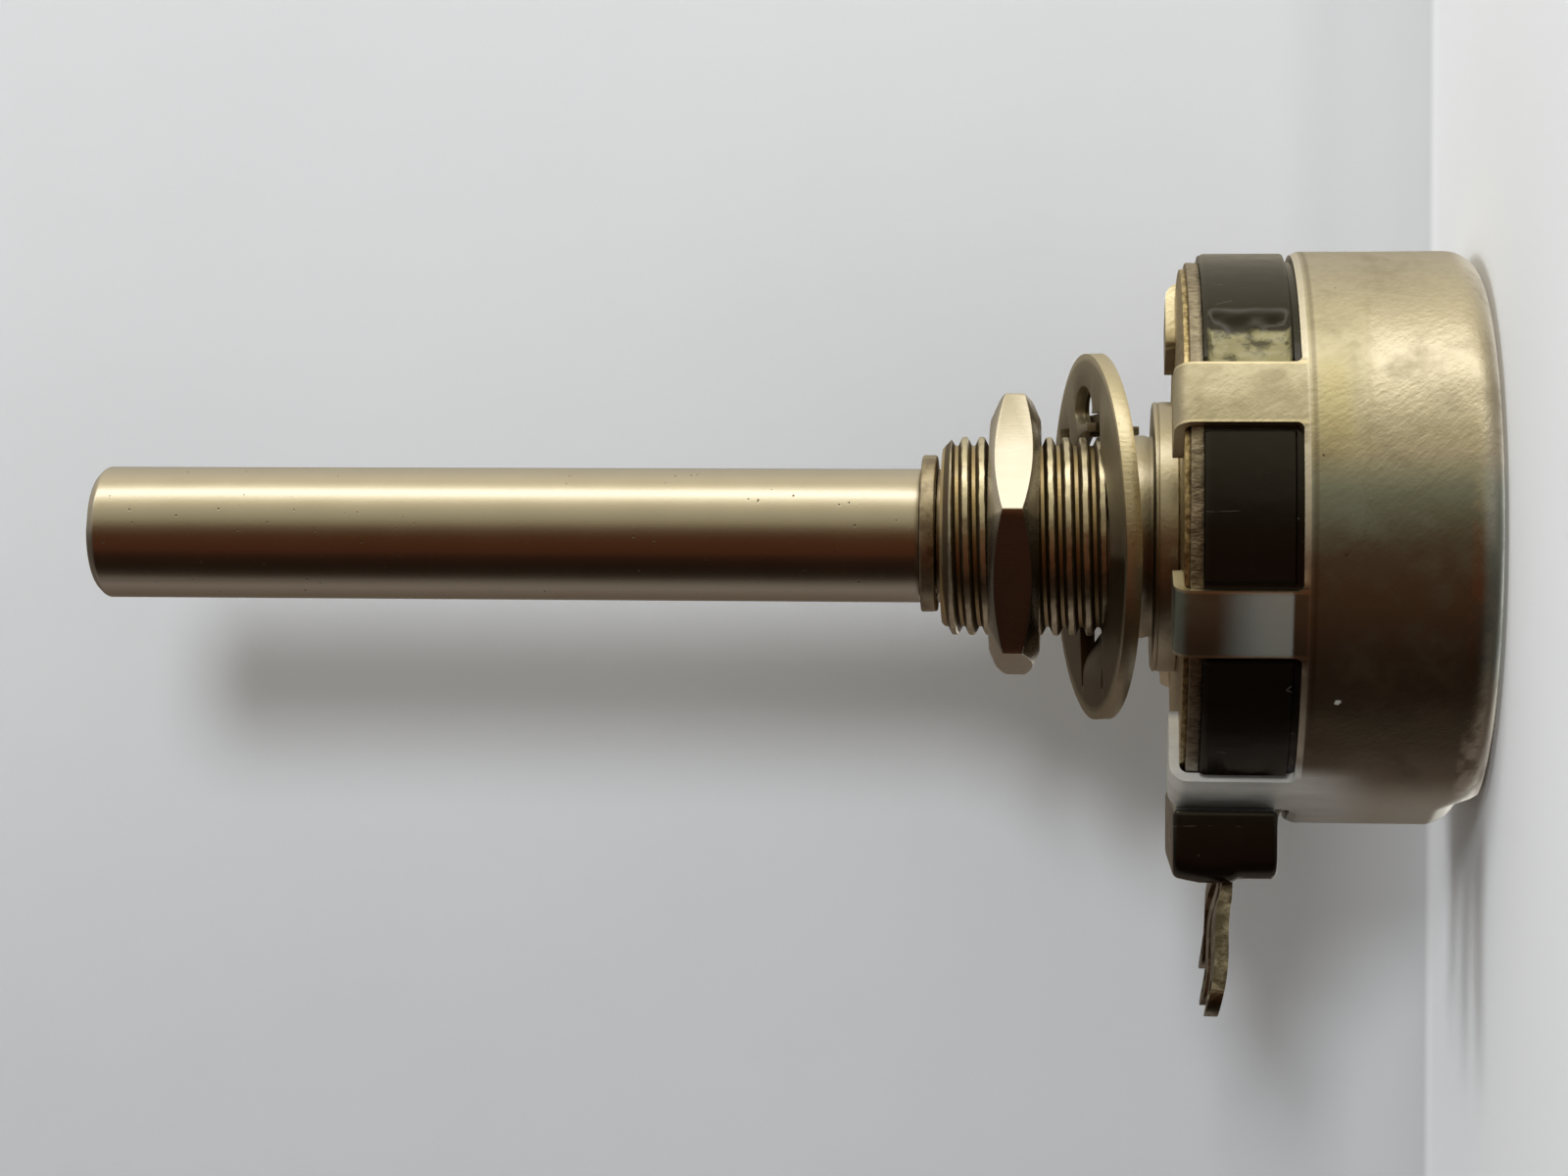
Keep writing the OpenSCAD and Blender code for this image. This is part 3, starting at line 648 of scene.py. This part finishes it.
def bush():
    """The thread is one true helix, run out to a neck behind and cut by a cone in front."""
    pitch, steps, crest, root = 25.4 / 32, 96, 4.71, 4.30
    low, high, cone_r = 1.75, BUSH_FRONT, 4.17
    turns = math.ceil((high - low) / pitch) + 3
    bm = bmesh.new()
    tooth = ((root, 0.00), (root - 0.03, 0.05), (root - 0.03, 0.15), (root, 0.20), (4.62, 0.40),
             (crest, 0.47), (crest, 0.75), (4.62, 0.82), (root, 1.0))
    verts = [bm.verts.new((r, 0, low - 2 * pitch + part * pitch)) for r, part in tooth]
    edges = [bm.edges.new(pair) for pair in zip(verts, verts[1:])]
    bmesh.ops.spin(bm, geom=verts + edges, cent=(0, 0, 0), axis=(0, 0, 1),
                   dvec=(0, 0, pitch / steps), angle=FULL * turns, steps=steps * turns)
    bmesh.ops.remove_doubles(bm, verts=bm.verts, dist=1e-3)
    for level, side in ((low, {"clear_inner": True}), (high, {"clear_outer": True})):
        slice_through(bm, (0, 0, level), (0, 0, 1), **side)
    for v in bm.verts:
        now = math.hypot(v.co.x, v.co.y)
        burr = max(0, now - 4.60) / 0.09 * (wander(v.co, 0.24, 2) * 0.040 - 0.014)
        inside = ease(v.co.z, low + 0.1, low + 0.6) * ease(v.co.z, high - 0.1, high - 0.6)
        v.co.z += max(0, now - 4.5) / 0.2 * wander(v.co, 0.5, 9) * 0.035 * inside
        r = now + burr
        r = max(r, root + (4.62 - root) * ease(v.co.z, low + 0.7, low))
        r = min(r, cone_r + max(0, high - v.co.z) * 1.05)
        v.co.x, v.co.y = v.co.x * r / now, v.co.y * r / now
    front, back = open_loop(bm, high), open_loop(bm, low)
    front = carry_on(bm, front, [(3.42, high), (3.25, high - 0.17), (3.25, high - 1)])
    back = carry_on(bm, back, [
        (4.55, low - 0.10), (4.52, low - 0.50), (4.60, low - 0.56), (4.76, low - 0.62),
        (4.79, low - 0.75), (4.79, 0.35), (4.72, 0.12), (4.72, 0.0), (6.15, 0.0),
        (6.30, -0.04), (6.36, -0.12), (6.365, -0.20), (6.31, -0.235), (6.31, -0.27),
        (6.355, -0.31), (6.37, -0.42), (6.37, -1.12), (6.30, FLANGE_BACK), (5.0, FLANGE_BACK),
        (5.0, PLATE_BACK), (5.4, PLATE_BACK), (5.5, PLATE_BACK - 0.1),
        (5.45, COLLAR_BACK + 0.05), (5.3, COLLAR_BACK), (3.25, COLLAR_BACK)])
    bmesh.ops.bridge_loops(bm, edges=front + back)
    return piece("threaded_bush", bm, thread_plate(), "housing", ("bush",), 38)


def nut():
    """The CAD's hexagon with both faces chamfered deeper by a pair of cones."""
    face_r, front, over = 5.5, NUT_BACK + 2.35, 0.01
    middle = (NUT_BACK + front) / 2
    slope = math.tan(math.radians(24))
    cones = lathe([(0, NUT_BACK - over), (face_r - over / slope, NUT_BACK - over),
                   (face_r + (middle - NUT_BACK) / slope, middle),
                   (face_r - over / slope, front + over), (0, front + over)], 192)
    bm = cut(copy_of("hex_nut"), cones, "INTERSECT")
    soften(bm, 0.07, 2, 18, lambda e: (e.verts[0].co.xy.length > 5.2
                                       and e.verts[1].co.xy.length > 5.2))
    return piece("bush_nut", bm, nut_plate(), "housing", ("hex_nut",), 24)


def windows(bm):
    """Above: a round-topped window with a notch on each side. Below: two narrow slits."""
    arch = bmesh.new()
    bmesh.ops.create_cone(arch, cap_ends=True, segments=32, radius1=1, radius2=1, depth=3)
    bmesh.ops.scale(arch, vec=(1.95, 1.15, 1), verts=arch.verts)
    for v in arch.verts:  # straight sides below a rounded top
        if v.co.y < 0:
            v.co.y *= 0.6
    bmesh.ops.translate(arch, vec=(-0.25, 6.02, 0), verts=arch.verts)
    left = block((-6.0, 4.45, -1), (-3.7, 5.35, 1))
    link = block((-4.9, 3.0, -1), (-3.6, 4.8, 1))
    right = block((0.5, 4.0, -1), (3.3, 5.75, 1))
    slits = [block((x - 0.17, -7.15, -1), (x + 0.17, -4.3, 1)) for x in (-2.3, 2.3)]
    for hole in [arch, left, link, right] + slits:
        bm = cut(bm, hole)
    return bm


def washer():
    """A pressed washer with bent tongues, leaning on the thread that it hangs from."""
    seat, lean, roll, thick = 2.6, 11.5, 1.9, 0.7
    bm = lathe([(5.0, -thick / 2), (8.65, -thick / 2), (8.65, thick / 2), (5.0, thick / 2)],
               192, closed=True)
    bm = windows(bm)
    for level in (-6.9, -6.6, -6.2, -5.8, -5.4):
        slice_through(bm, (0, level, 0), (0, 1, 0))
    for v in bm.verts:  # the lower tongue lifts away behind
        if abs(v.co.x) < 2.2 and -6.8 < v.co.y < -4.3:
            v.co.z -= 0.20 * (v.co.y + 6.8) ** 2
    soften(bm, 0.05, 2, 40)
    for low, high in (((-2.4, 4.80, -2.45), (-0.8, 5.22, 0.30)),
                      ((-3.4, 5.23, -0.95), (0.9, 5.85, -0.38))):
        tongue = block(low, high)
        soften(tongue, 0.06, 2)
        mesh = bpy.data.meshes.new("work")
        tongue.to_mesh(mesh)
        tongue.free()
        bm.from_mesh(mesh)
        bpy.data.meshes.remove(mesh)
    for v in bm.verts:  # it is no longer quite flat
        v.co.z += 0.05 * wander((v.co.x, v.co.y, 0), 6, 3)
    pose = (Matrix.Translation((0, 0, seat)) @ Matrix.Rotation(math.radians(lean), 4, "Y")
            @ Matrix.Rotation(math.radians(roll), 4, "X"))
    bmesh.ops.transform(bm, matrix=pose, verts=bm.verts)
    return piece("tongue_washer", bm, washer_plate(), "housing",
                 ("locating_washer",), 35)


# ---------------------------------------------------------------- plates

def plates():
    """The steel plate and the thin brass one in front of it, with slightly ragged edges."""
    steel = lathe([(5.05, PLATE_BACK), (PLATE_R, PLATE_BACK), (PLATE_R, EARTH_BACK),
                   (5.05, EARTH_BACK)], 360, closed=True)
    soften(steel, 0.07, 2, 40)
    brass = lathe([(5.05, EARTH_BACK), (EARTH_R, EARTH_BACK), (EARTH_R, FLANGE_BACK),
                   (5.05, FLANGE_BACK)], 360, closed=True)
    soften(brass, 0.05, 2, 40)
    for bm, ragged in ((steel, 0.035), (brass, 0.05)):
        for v in bm.verts:
            radius = v.co.xy.length
            if radius > 12:
                v.co.xy *= 1 - ragged * (0.5 + wander(v.co, 0.5, 5)) / radius
    piece("steel_plate", steel, sheared_steel(), "housing", ("front_plate",), 40)
    piece("brass_plate", brass, thin_brass(), "housing", ("earth_plate",), 40)


# ---------------------------------------------------------------- can

def can_sheet():
    """Outside of the can as one sheet: the cup, then the six tabs drawn out of its mouth."""
    corner, root_angle = 1.5, 7.5
    outline = [(r, CAN_BACK) for r in (0, 2, 4, 6, 8, 9, 10, 10.8, 11.4)]
    outline += [(CAN_R - corner + corner * math.sin(a), CAN_BACK + corner - corner * math.cos(a))
                for a in (math.radians(9 * i) for i in range(11))]
    outline += [(CAN_R, CAN_BACK + corner + 0.4 * i) for i in range(1, 17)]
    outline += [(CAN_R, CAN_MOUTH - back) for back in (0.45, 0.3, 0.15, 0)]
    bm = lathe(outline, 288)
    bend_r, top = 0.85, -0.74
    path = [(CAN_R, z) for z in (-6.2, -6.05, -5.8, -5.0, -4.2, -3.4, -2.6, -2.1)]
    path += [(CAN_R - bend_r + bend_r * math.cos(a), top - bend_r + bend_r * math.sin(a))
             for a in (math.radians(15 * i) for i in range(7))]
    path += [(r, top) for r in (12.2, 11.6, 11.0, 10.5, 10.1, 9.8, 9.64)]
    halves = [1.60, TAB_HALF] + [TAB_HALF] * (len(path) - 6) + [1.50, 1.44, 1.30, 1.05]
    for angle in TAB_ANGLES:
        edges = [e for e in open_loop(bm, CAN_MOUTH)
                 if all(apart(polar(v.co)[1], angle) < root_angle + 0.1 for v in e.verts)]
        out = Matrix.Rotation(math.radians(angle), 3, "Z")
        before = CAN_R * math.sin(math.radians(root_angle))
        for (radius, level), half in zip(path, halves):
            made = bmesh.ops.extrude_edge_only(bm, edges=edges)["geom"]
            fresh = {g for g in made if isinstance(g, bmesh.types.BMVert)}
            for v in fresh:
                across = (out.inverted() @ v.co).y * half / before
                rise = CAN_R - math.sqrt(CAN_R ** 2 - across ** 2)
                v.co = out @ Vector((radius - rise, across, level))
            edges = [g for g in made if isinstance(g, bmesh.types.BMEdge)
                     and all(v in fresh for v in g.verts)]
            before = half
    return bm


def can():
    """The can's sheet with its lip curled in, its stop pressed up, and its thickness."""
    curl_in, stop_depth, stop_middle = 0.16, 0.85, -0.3
    bm = can_sheet()
    for v in bm.verts:
        radius, angle = polar(v.co)
        if CAN_MOUTH - 0.5 < v.co.z < CAN_MOUTH + 0.01 and radius > 13:
            free = min(ease(apart(angle, tab), 7.6, 10.5) for tab in TAB_ANGLES)
            curl = curl_in * free * ease(v.co.z, CAN_MOUTH - 0.5, CAN_MOUTH) ** 2
            v.co.xy *= 1 - curl / radius
        if v.co.y < -11 and v.co.z < CAN_BACK + 3:  # the stop, pressed in at the back corner
            pressed = ease(v.co.y + 0.15 * wander(v.co, 1.2, 6), -11.75, -12.15)
            pressed *= ease(abs(v.co.x - stop_middle), 6.6, 5.0)
            v.co.z += stop_depth * pressed * ease(v.co.z, CAN_BACK + 2.8, CAN_BACK + 0.9)
        if v.co.z > CAN_BACK + 0.5 and radius > 13:
            v.co.xy *= 1 - (0.012 + 0.012 * wander(v.co, 5, 1)) / radius
    bmesh.ops.solidify(bm, geom=list(bm.faces), thickness=SHEET)
    bmesh.ops.recalc_face_normals(bm, faces=bm.faces)
    soften(bm, 0.14, 3, 45, lambda e: e.verts[0].co.z > CAN_MOUTH - 0.3)
    return piece("can", bm, can_plate(), "housing", ("cover",), 40)


# ---------------------------------------------------------------- moulded base

def base_radius(angle, level):
    """Radius of the base: slots under the tabs, a groove at the can and one shallow pocket."""
    front_round, groove, slot_r, slot_half, pocket = 0.10, 0.38, 12.92, 7.6, 0.38
    radius = BASE_R - front_round * ease(level, PLATE_BACK - 0.25, PLATE_BACK)
    radius -= groove * ease(level, -5.88, -6.02)
    if min(apart(angle, tab) for tab in TAB_ANGLES) < slot_half:
        return slot_r
    wide = ease(angle, 49.5, 44.5) * ease(angle, 33.5, 34.5)
    tall = ease(level, -2.15, -2.5) * ease(level, -5.95, -5.65)
    lumps = 0.20 * wander((angle * 0.23, level, 0), 0.9, 8)
    return radius - (pocket + lumps) * wide * tall


def base():
    """The black moulding: a ring with slots for the tabs, and the block for the lugs."""
    step_r, bore_r = 12.88, 5.85
    rows = [PLATE_BACK - 0.12 * i for i in range(39)] + [GROOVE_BACK]
    outline = [(BASE_R, z) for z in rows]
    outline += [(step_r, GROOVE_BACK), (step_r, STEP_BACK), (CAVITY_R, STEP_BACK),
                (CAVITY_R, WALL_BACK), (bore_r, WALL_BACK), (bore_r, PLATE_BACK)]
    bm = lathe(outline, 432, closed=True)
    for v in bm.verts:
        radius, angle = polar(v.co)
        if radius > 13:
            v.co.xy *= base_radius(angle, v.co.z) / radius
    # The block that the lugs come out of, and the web that joins it to the base.
    lug_block = block((-6.75, -15.6, -5.65), (6.75, -12.4, -0.95))
    sides = [e for e in lug_block.edges if abs(e.verts[0].co.z - e.verts[1].co.z) > 1
             and e.verts[0].co.y < -15]
    bmesh.ops.bevel(lug_block, geom=sides, offset=1.2, segments=8, affect="EDGES", profile=0.5,
                    material=-1)
    soften(lug_block, 0.28, 4, 60)
    for level in (-1.6, -2.2, -2.8, -3.3, -3.6, -3.9, -4.4):
        slice_through(lug_block, (0, 0, level), (0, 0, 1))
    for v in lug_block.verts:
        low = ease(v.co.y, -13.5, -15.4)
        v.co.y -= 0.22 * low * ease(v.co.z, -4.0, -3.5) * ease(v.co.z, -0.9, -2.3)
    web = block((-4.4, -13.6, -5.6), (4.4, -11.2, -2.1))
    for part in (web, lug_block):
        bm = cut(bm, part, "UNION")
    return piece("black_base", bm, bakelite(), "housing", ("base",), 35)


# ---------------------------------------------------------------- solder lugs

def lug(number, turn, short, twist, lean, skin):
    """One lug: a flat strip from its rivet, then leaning and twisted below the block."""
    width, thick, hole = 2.2, 0.45, 0.6
    inner, bend = 9.15, 16.497
    reach = 6.45 - short
    tip = -(bend + reach - width / 2)
    bm = bmesh.new()
    bmesh.ops.create_circle(bm, segments=32, radius=hole)
    bmesh.ops.create_circle(bm, segments=32, radius=width / 2)
    bmesh.ops.bridge_loops(bm, edges=bm.edges)
    for v in bm.verts:
        if v.co.length > hole + 0.1 and v.co.y > 1e-3:
            v.co *= width / 2 / max(abs(v.co.x), abs(v.co.y))
    bmesh.ops.translate(bm, vec=(0, tip, 0), verts=bm.verts)
    edges = [e for e in bm.edges if e.is_boundary
             and all(abs(v.co.y - tip - width / 2) < 1e-3 for v in e.verts)]
    start, count = tip + width / 2, 22
    for step in range(1, count + 1):
        made = bmesh.ops.extrude_edge_only(bm, edges=edges)["geom"]
        fresh = {g for g in made if isinstance(g, bmesh.types.BMVert)}
        for v in fresh:
            v.co.y = start + (-inner - start) * step / count
        edges = [g for g in made if isinstance(g, bmesh.types.BMEdge)
                 and all(v in fresh for v in g.verts)]
    bmesh.ops.solidify(bm, geom=list(bm.faces), thickness=thick)
    low = min(v.co.z for v in bm.verts)
    bmesh.ops.translate(bm, vec=(0, 0, -low - thick / 2), verts=bm.verts)
    bmesh.ops.recalc_face_normals(bm, faces=bm.faces)
    soften(bm, 0.07, 2, 50)
    for v in bm.verts:
        below = max(0, -v.co.y - bend)
        along = Vector((0, -below * math.cos(math.radians(lean)),
                        below * math.sin(math.radians(lean))))
        spin = math.radians(twist) * ease(below, -0.3, 1.8) * (1 - 0.4 * below / reach)
        v.co.z *= 1 + 0.35 * ease(below, 0, 1)
        side = Vector((v.co.x, 0, v.co.z))
        side.rotate(Matrix.Rotation(spin, 3, "Y"))
        bow = 0.10 * math.sin(below * 1.1) * ease(below, 0, 1.5)
        if below > 0:
            v.co = Vector((0, -bend, 0)) + along + side + Vector((0, 0, bow))
    turned = Matrix.Rotation(math.radians(turn), 4, "Z")
    bmesh.ops.transform(bm, matrix=turned @ Matrix.Translation((0, 0, WALL_BACK + thick / 2)),
                        verts=bm.verts)
    return piece(f"solder_lug_{number}", bm, skin, "housing",
                 (f"terminal_{number}",), 40)


# ---------------------------------------------------------------- everything on the bench

shaft()
clip()
bush()
nut()
washer()
plates()
can()
base()
tinned = old_solder()
lug(1, 15, 0.3, 3.5, 6.5, tinned)
lug(2, 0, 0.8, 1.0, 7.6, tinned)
lug(3, -15, 1.2, -3, 6.8, tinned)

INNER = {
    "track_board": plain_solid("board_brown", (0.20, 0.10, 0.045), (0.34, 0.19, 0.09), 0.5),
    "carbon_track": plain_solid("carbon_film", (0.02, 0.02, 0.02), (0.05, 0.05, 0.052), 0.45),
    "collector_ring": plain_metal("silvered", (0.70, 0.66, 0.54), (0.86, 0.83, 0.74), 0.2),
    "terminal_rivets": plain_metal("rivet_brass", (0.50, 0.40, 0.20), (0.74, 0.63, 0.38), 0.3),
    "thrust_washer": plain_metal("bronze_washer", (0.45, 0.33, 0.17), (0.66, 0.52, 0.30), 0.3),
    "rotor_carrier": plain_solid("brown_moulding", (0.09, 0.04, 0.02), (0.16, 0.08, 0.045), 0.4),
    "wiper_spring": plain_metal("spring_bronze", (0.60, 0.45, 0.22), (0.80, 0.66, 0.40), 0.22),
    "contact_brush": plain_solid("brush_carbon", (0.015, 0.015, 0.015), (0.04, 0.04, 0.04), 0.5),
    "collector_contact": plain_metal("silver_tip", (0.70, 0.68, 0.62), (0.88, 0.86, 0.80), 0.2),
    "wiper_rivets": plain_metal("small_rivets", (0.50, 0.40, 0.20), (0.74, 0.63, 0.38), 0.3),
    "stop_arm": plain_metal("arm_steel", (0.40, 0.37, 0.32), (0.58, 0.55, 0.49), 0.35),
}
for node, skin in INNER.items():
    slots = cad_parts[node].data.materials
    slots.clear()
    slots.append(skin)


# ---------------------------------------------------------------- camera, paper and light

def camera():
    """Looks across the shaft from +X with the lugs downwards, a little from the shaft's end."""
    place = Vector((149.33, -2.53, 3.28))
    swing, tilt = math.radians(5.4), math.radians(0.37)
    view = Vector((-math.cos(swing), 0, math.sin(swing)))
    right, up = Vector((-math.sin(swing), 0, -math.cos(swing))), Vector((0, 1, 0))
    right, up = (right * math.cos(tilt) + up * math.sin(tilt),
                 up * math.cos(tilt) - right * math.sin(tilt))
    lens = bpy.data.cameras.new("bench_camera")
    lens.lens, lens.sensor_width, lens.clip_start, lens.clip_end = 72, 36, 0.01, 10
    obj = bpy.data.objects.new("bench_camera", lens)
    obj.matrix_world = Matrix((right, up, -view)).transposed().to_4x4()
    obj.matrix_world.translation = place * MM
    scene.collection.objects.link(obj)
    scene.camera = obj


def paper_finish(name, one_sided=False):
    """Pale paper with painted light and shade: lighter upwards, painted darker round its bend and
    painted lightest where it lies flat.
    """
    f = Finish(name, Roughness=0.9)
    # Painted light: lighter towards +Y, with slow cloudy variation.
    share = f.cloud(40, 3) * 0.3 + f.y.ease(-55, 45) * 0.7
    plain = share.tint((0.485, 0.49, 0.512), (0.74, 0.745, 0.755))
    # Painted shade round the bend.
    bend = f.z.near(-11.7, 1.6, 3.2)
    plain = toned(bend * 0.25, (0.38, 0.385, 0.40), plain)
    # Painted light on the flat floor.
    light = share.tint((0.74, 0.745, 0.765), (0.93, 0.935, 0.945))
    f.set("Base Color", f.z.ease(CAN_BACK + 0.3, CAN_BACK).tint(plain, light))
    f.bump(f.cloud(0.8, 4), 0.01)
    if one_sided:
        back = f.add("ShaderNodeNewGeometry", {}, {}, "Backfacing")
        clear = f.add("ShaderNodeBsdfTransparent", {}, {})
        f.put(f.end.inputs["Surface"],
              f.add("ShaderNodeMixShader", {}, {0: back, 1: f.surface, 2: clear}))
    return f.material


def paper():
    """A flat floor under the can and a sheet of paper that curves up behind the part."""
    floor = bmesh.new()
    bmesh.ops.create_grid(floor, x_segments=1, y_segments=1, size=3000)
    bmesh.ops.translate(floor, vec=(0, 0, CAN_BACK - 0.01), verts=floor.verts)
    bend, start, far = 7, -14.4, 700
    sweep = bmesh.new()
    verts = [sweep.verts.new((start - bend * math.sin(a), -far,
                              CAN_BACK + bend - bend * math.cos(a)))
             for a in (math.radians(5 * i) for i in range(19))]
    verts.append(sweep.verts.new((start - bend, -far, far)))
    edges = [sweep.edges.new(pair) for pair in zip(verts, verts[1:])]
    made = bmesh.ops.extrude_edge_only(sweep, edges=edges)["geom"]
    bmesh.ops.translate(sweep, vec=(0, 2 * far, 0),
                        verts=[g for g in made if isinstance(g, bmesh.types.BMVert)])
    for face in sweep.faces:
        face.normal_update()
        if face.normal.x + face.normal.z < 0:
            face.normal_flip()
    for name, bm, skin in (("floor", floor, paper_finish("floor_paper")),
                           ("paper_sweep", sweep, paper_finish("paper_from_front", True))):
        bmesh.ops.scale(bm, vec=(MM,) * 3, verts=bm.verts)
        mesh = bpy.data.meshes.new(name)
        bm.to_mesh(mesh)
        bm.free()
        mesh.shade_smooth()
        mesh.materials.append(skin)
        obj = bpy.data.objects.new(name, mesh)
        scene.collection.objects.link(obj)
        obj.visible_glossy = False


def room():
    """A soft room: a warm window above, pale paper behind and dimness in front."""
    world = bpy.data.worlds.new("soft_room")
    scene.world = world
    g = Nodes(world)
    coords = g.add("ShaderNodeTexCoord", {}, {}, "Generated")
    x, y, z = (g.add("ShaderNodeSeparateXYZ", {}, {0: coords}, i) for i in range(3))
    # Brightness by the angle about the shaft, in degrees from +X towards +Y.
    bands = ((-180, (0.16, 0.13, 0.10)), (-149, (0.13, 0.10, 0.07)), (-125, (0.18, 0.14, 0.11)),
             (-109, (0.24, 0.20, 0.16)), (-95, (0.17, 0.14, 0.11)), (-84, (0.045, 0.034, 0.022)),
             (-72, (0.016, 0.010, 0.006)), (-55, (0.018, 0.009, 0.005)),
             (-43, (0.026, 0.011, 0.006)), (-38, (0.045, 0.016, 0.008)),
             (-33, (0.072, 0.024, 0.011)), (-8, (0.078, 0.028, 0.010)), (2, (0.10, 0.05, 0.024)),
             (10, (0.15, 0.10, 0.055)), (18, (0.30, 0.25, 0.15)), (28, (0.43, 0.37, 0.24)),
             (45, (0.58, 0.51, 0.34)), (55, (0.80, 0.69, 0.43)), (64, (1.40, 1.26, 0.84)),
             (71, (2.3, 2.15, 1.8)), (79, (2.3, 2.15, 1.8)), (86, (1.20, 1.05, 0.68)),
             (98, (0.80, 0.70, 0.46)), (112, (0.79, 0.70, 0.50)), (129, (0.66, 0.59, 0.44)),
             (156, (0.53, 0.48, 0.37)), (180, (0.16, 0.13, 0.10)))
    share = (x.math("ARCTAN2", y, x) + math.pi) / FULL
    around = g.add("ShaderNodeValToRGB",
                   {"stops": [((angle + 180) / 360, colour) for angle, colour in bands]},
                   {0: share})
    ends = y.ease(-0.15, 0.30).tint((0.08, 0.065, 0.05), (0.42, 0.37, 0.29))
    seen = abs(z).ease(0.55, 0.95).tint(around, ends)
    paper_edge = x.ease(-0.55, -0.85) * z.ease(-0.10, -0.30)
    lit = g.add("ShaderNodeBackground", {}, {0: paper_edge.tint(seen, (1.0, 0.95, 0.86))})
    dim = g.add("ShaderNodeBackground", {}, {0: (0.185, 0.158, 0.122)})
    pale = g.add("ShaderNodeBackground", {}, {0: (0.62, 0.63, 0.66)})
    diffuse = g.add("ShaderNodeLightPath", {}, {}, "Is Diffuse Ray")
    direct = g.add("ShaderNodeLightPath", {}, {}, "Is Camera Ray")
    soft = g.add("ShaderNodeMixShader", {}, {0: diffuse, 1: lit, 2: dim})
    g.add("ShaderNodeOutputWorld", {},
          {"Surface": g.add("ShaderNodeMixShader", {}, {0: direct, 1: soft, 2: pale})})


def soft_lamp(name, place, aim, size, power):
    """A round, slightly cool lamp; sizes in millimetres and power in watts."""
    colour = (0.93, 0.97, 1.0)
    light = bpy.data.lights.new(name, "AREA")
    light.shape, light.size, light.energy, light.color = "DISK", size * MM, power, colour
    obj = bpy.data.objects.new(name, light)
    obj.location = Vector(place) * MM
    towards = Vector(aim) - Vector(place)
    obj.rotation_euler = towards.to_track_quat("-Z", "Y").to_euler()
    obj.visible_glossy = False
    scene.collection.objects.link(obj)


camera()
paper()
room()
soft_lamp("key_lamp", place=(270, 98, 42), aim=(0, 0, 10), size=74, power=0.50)
soft_lamp("top_lamp", place=(20, 60, 420), aim=(20, 0, 0), size=200, power=1.0)
scene.view_settings.view_transform = "Standard"
scene.view_settings.look = "None"
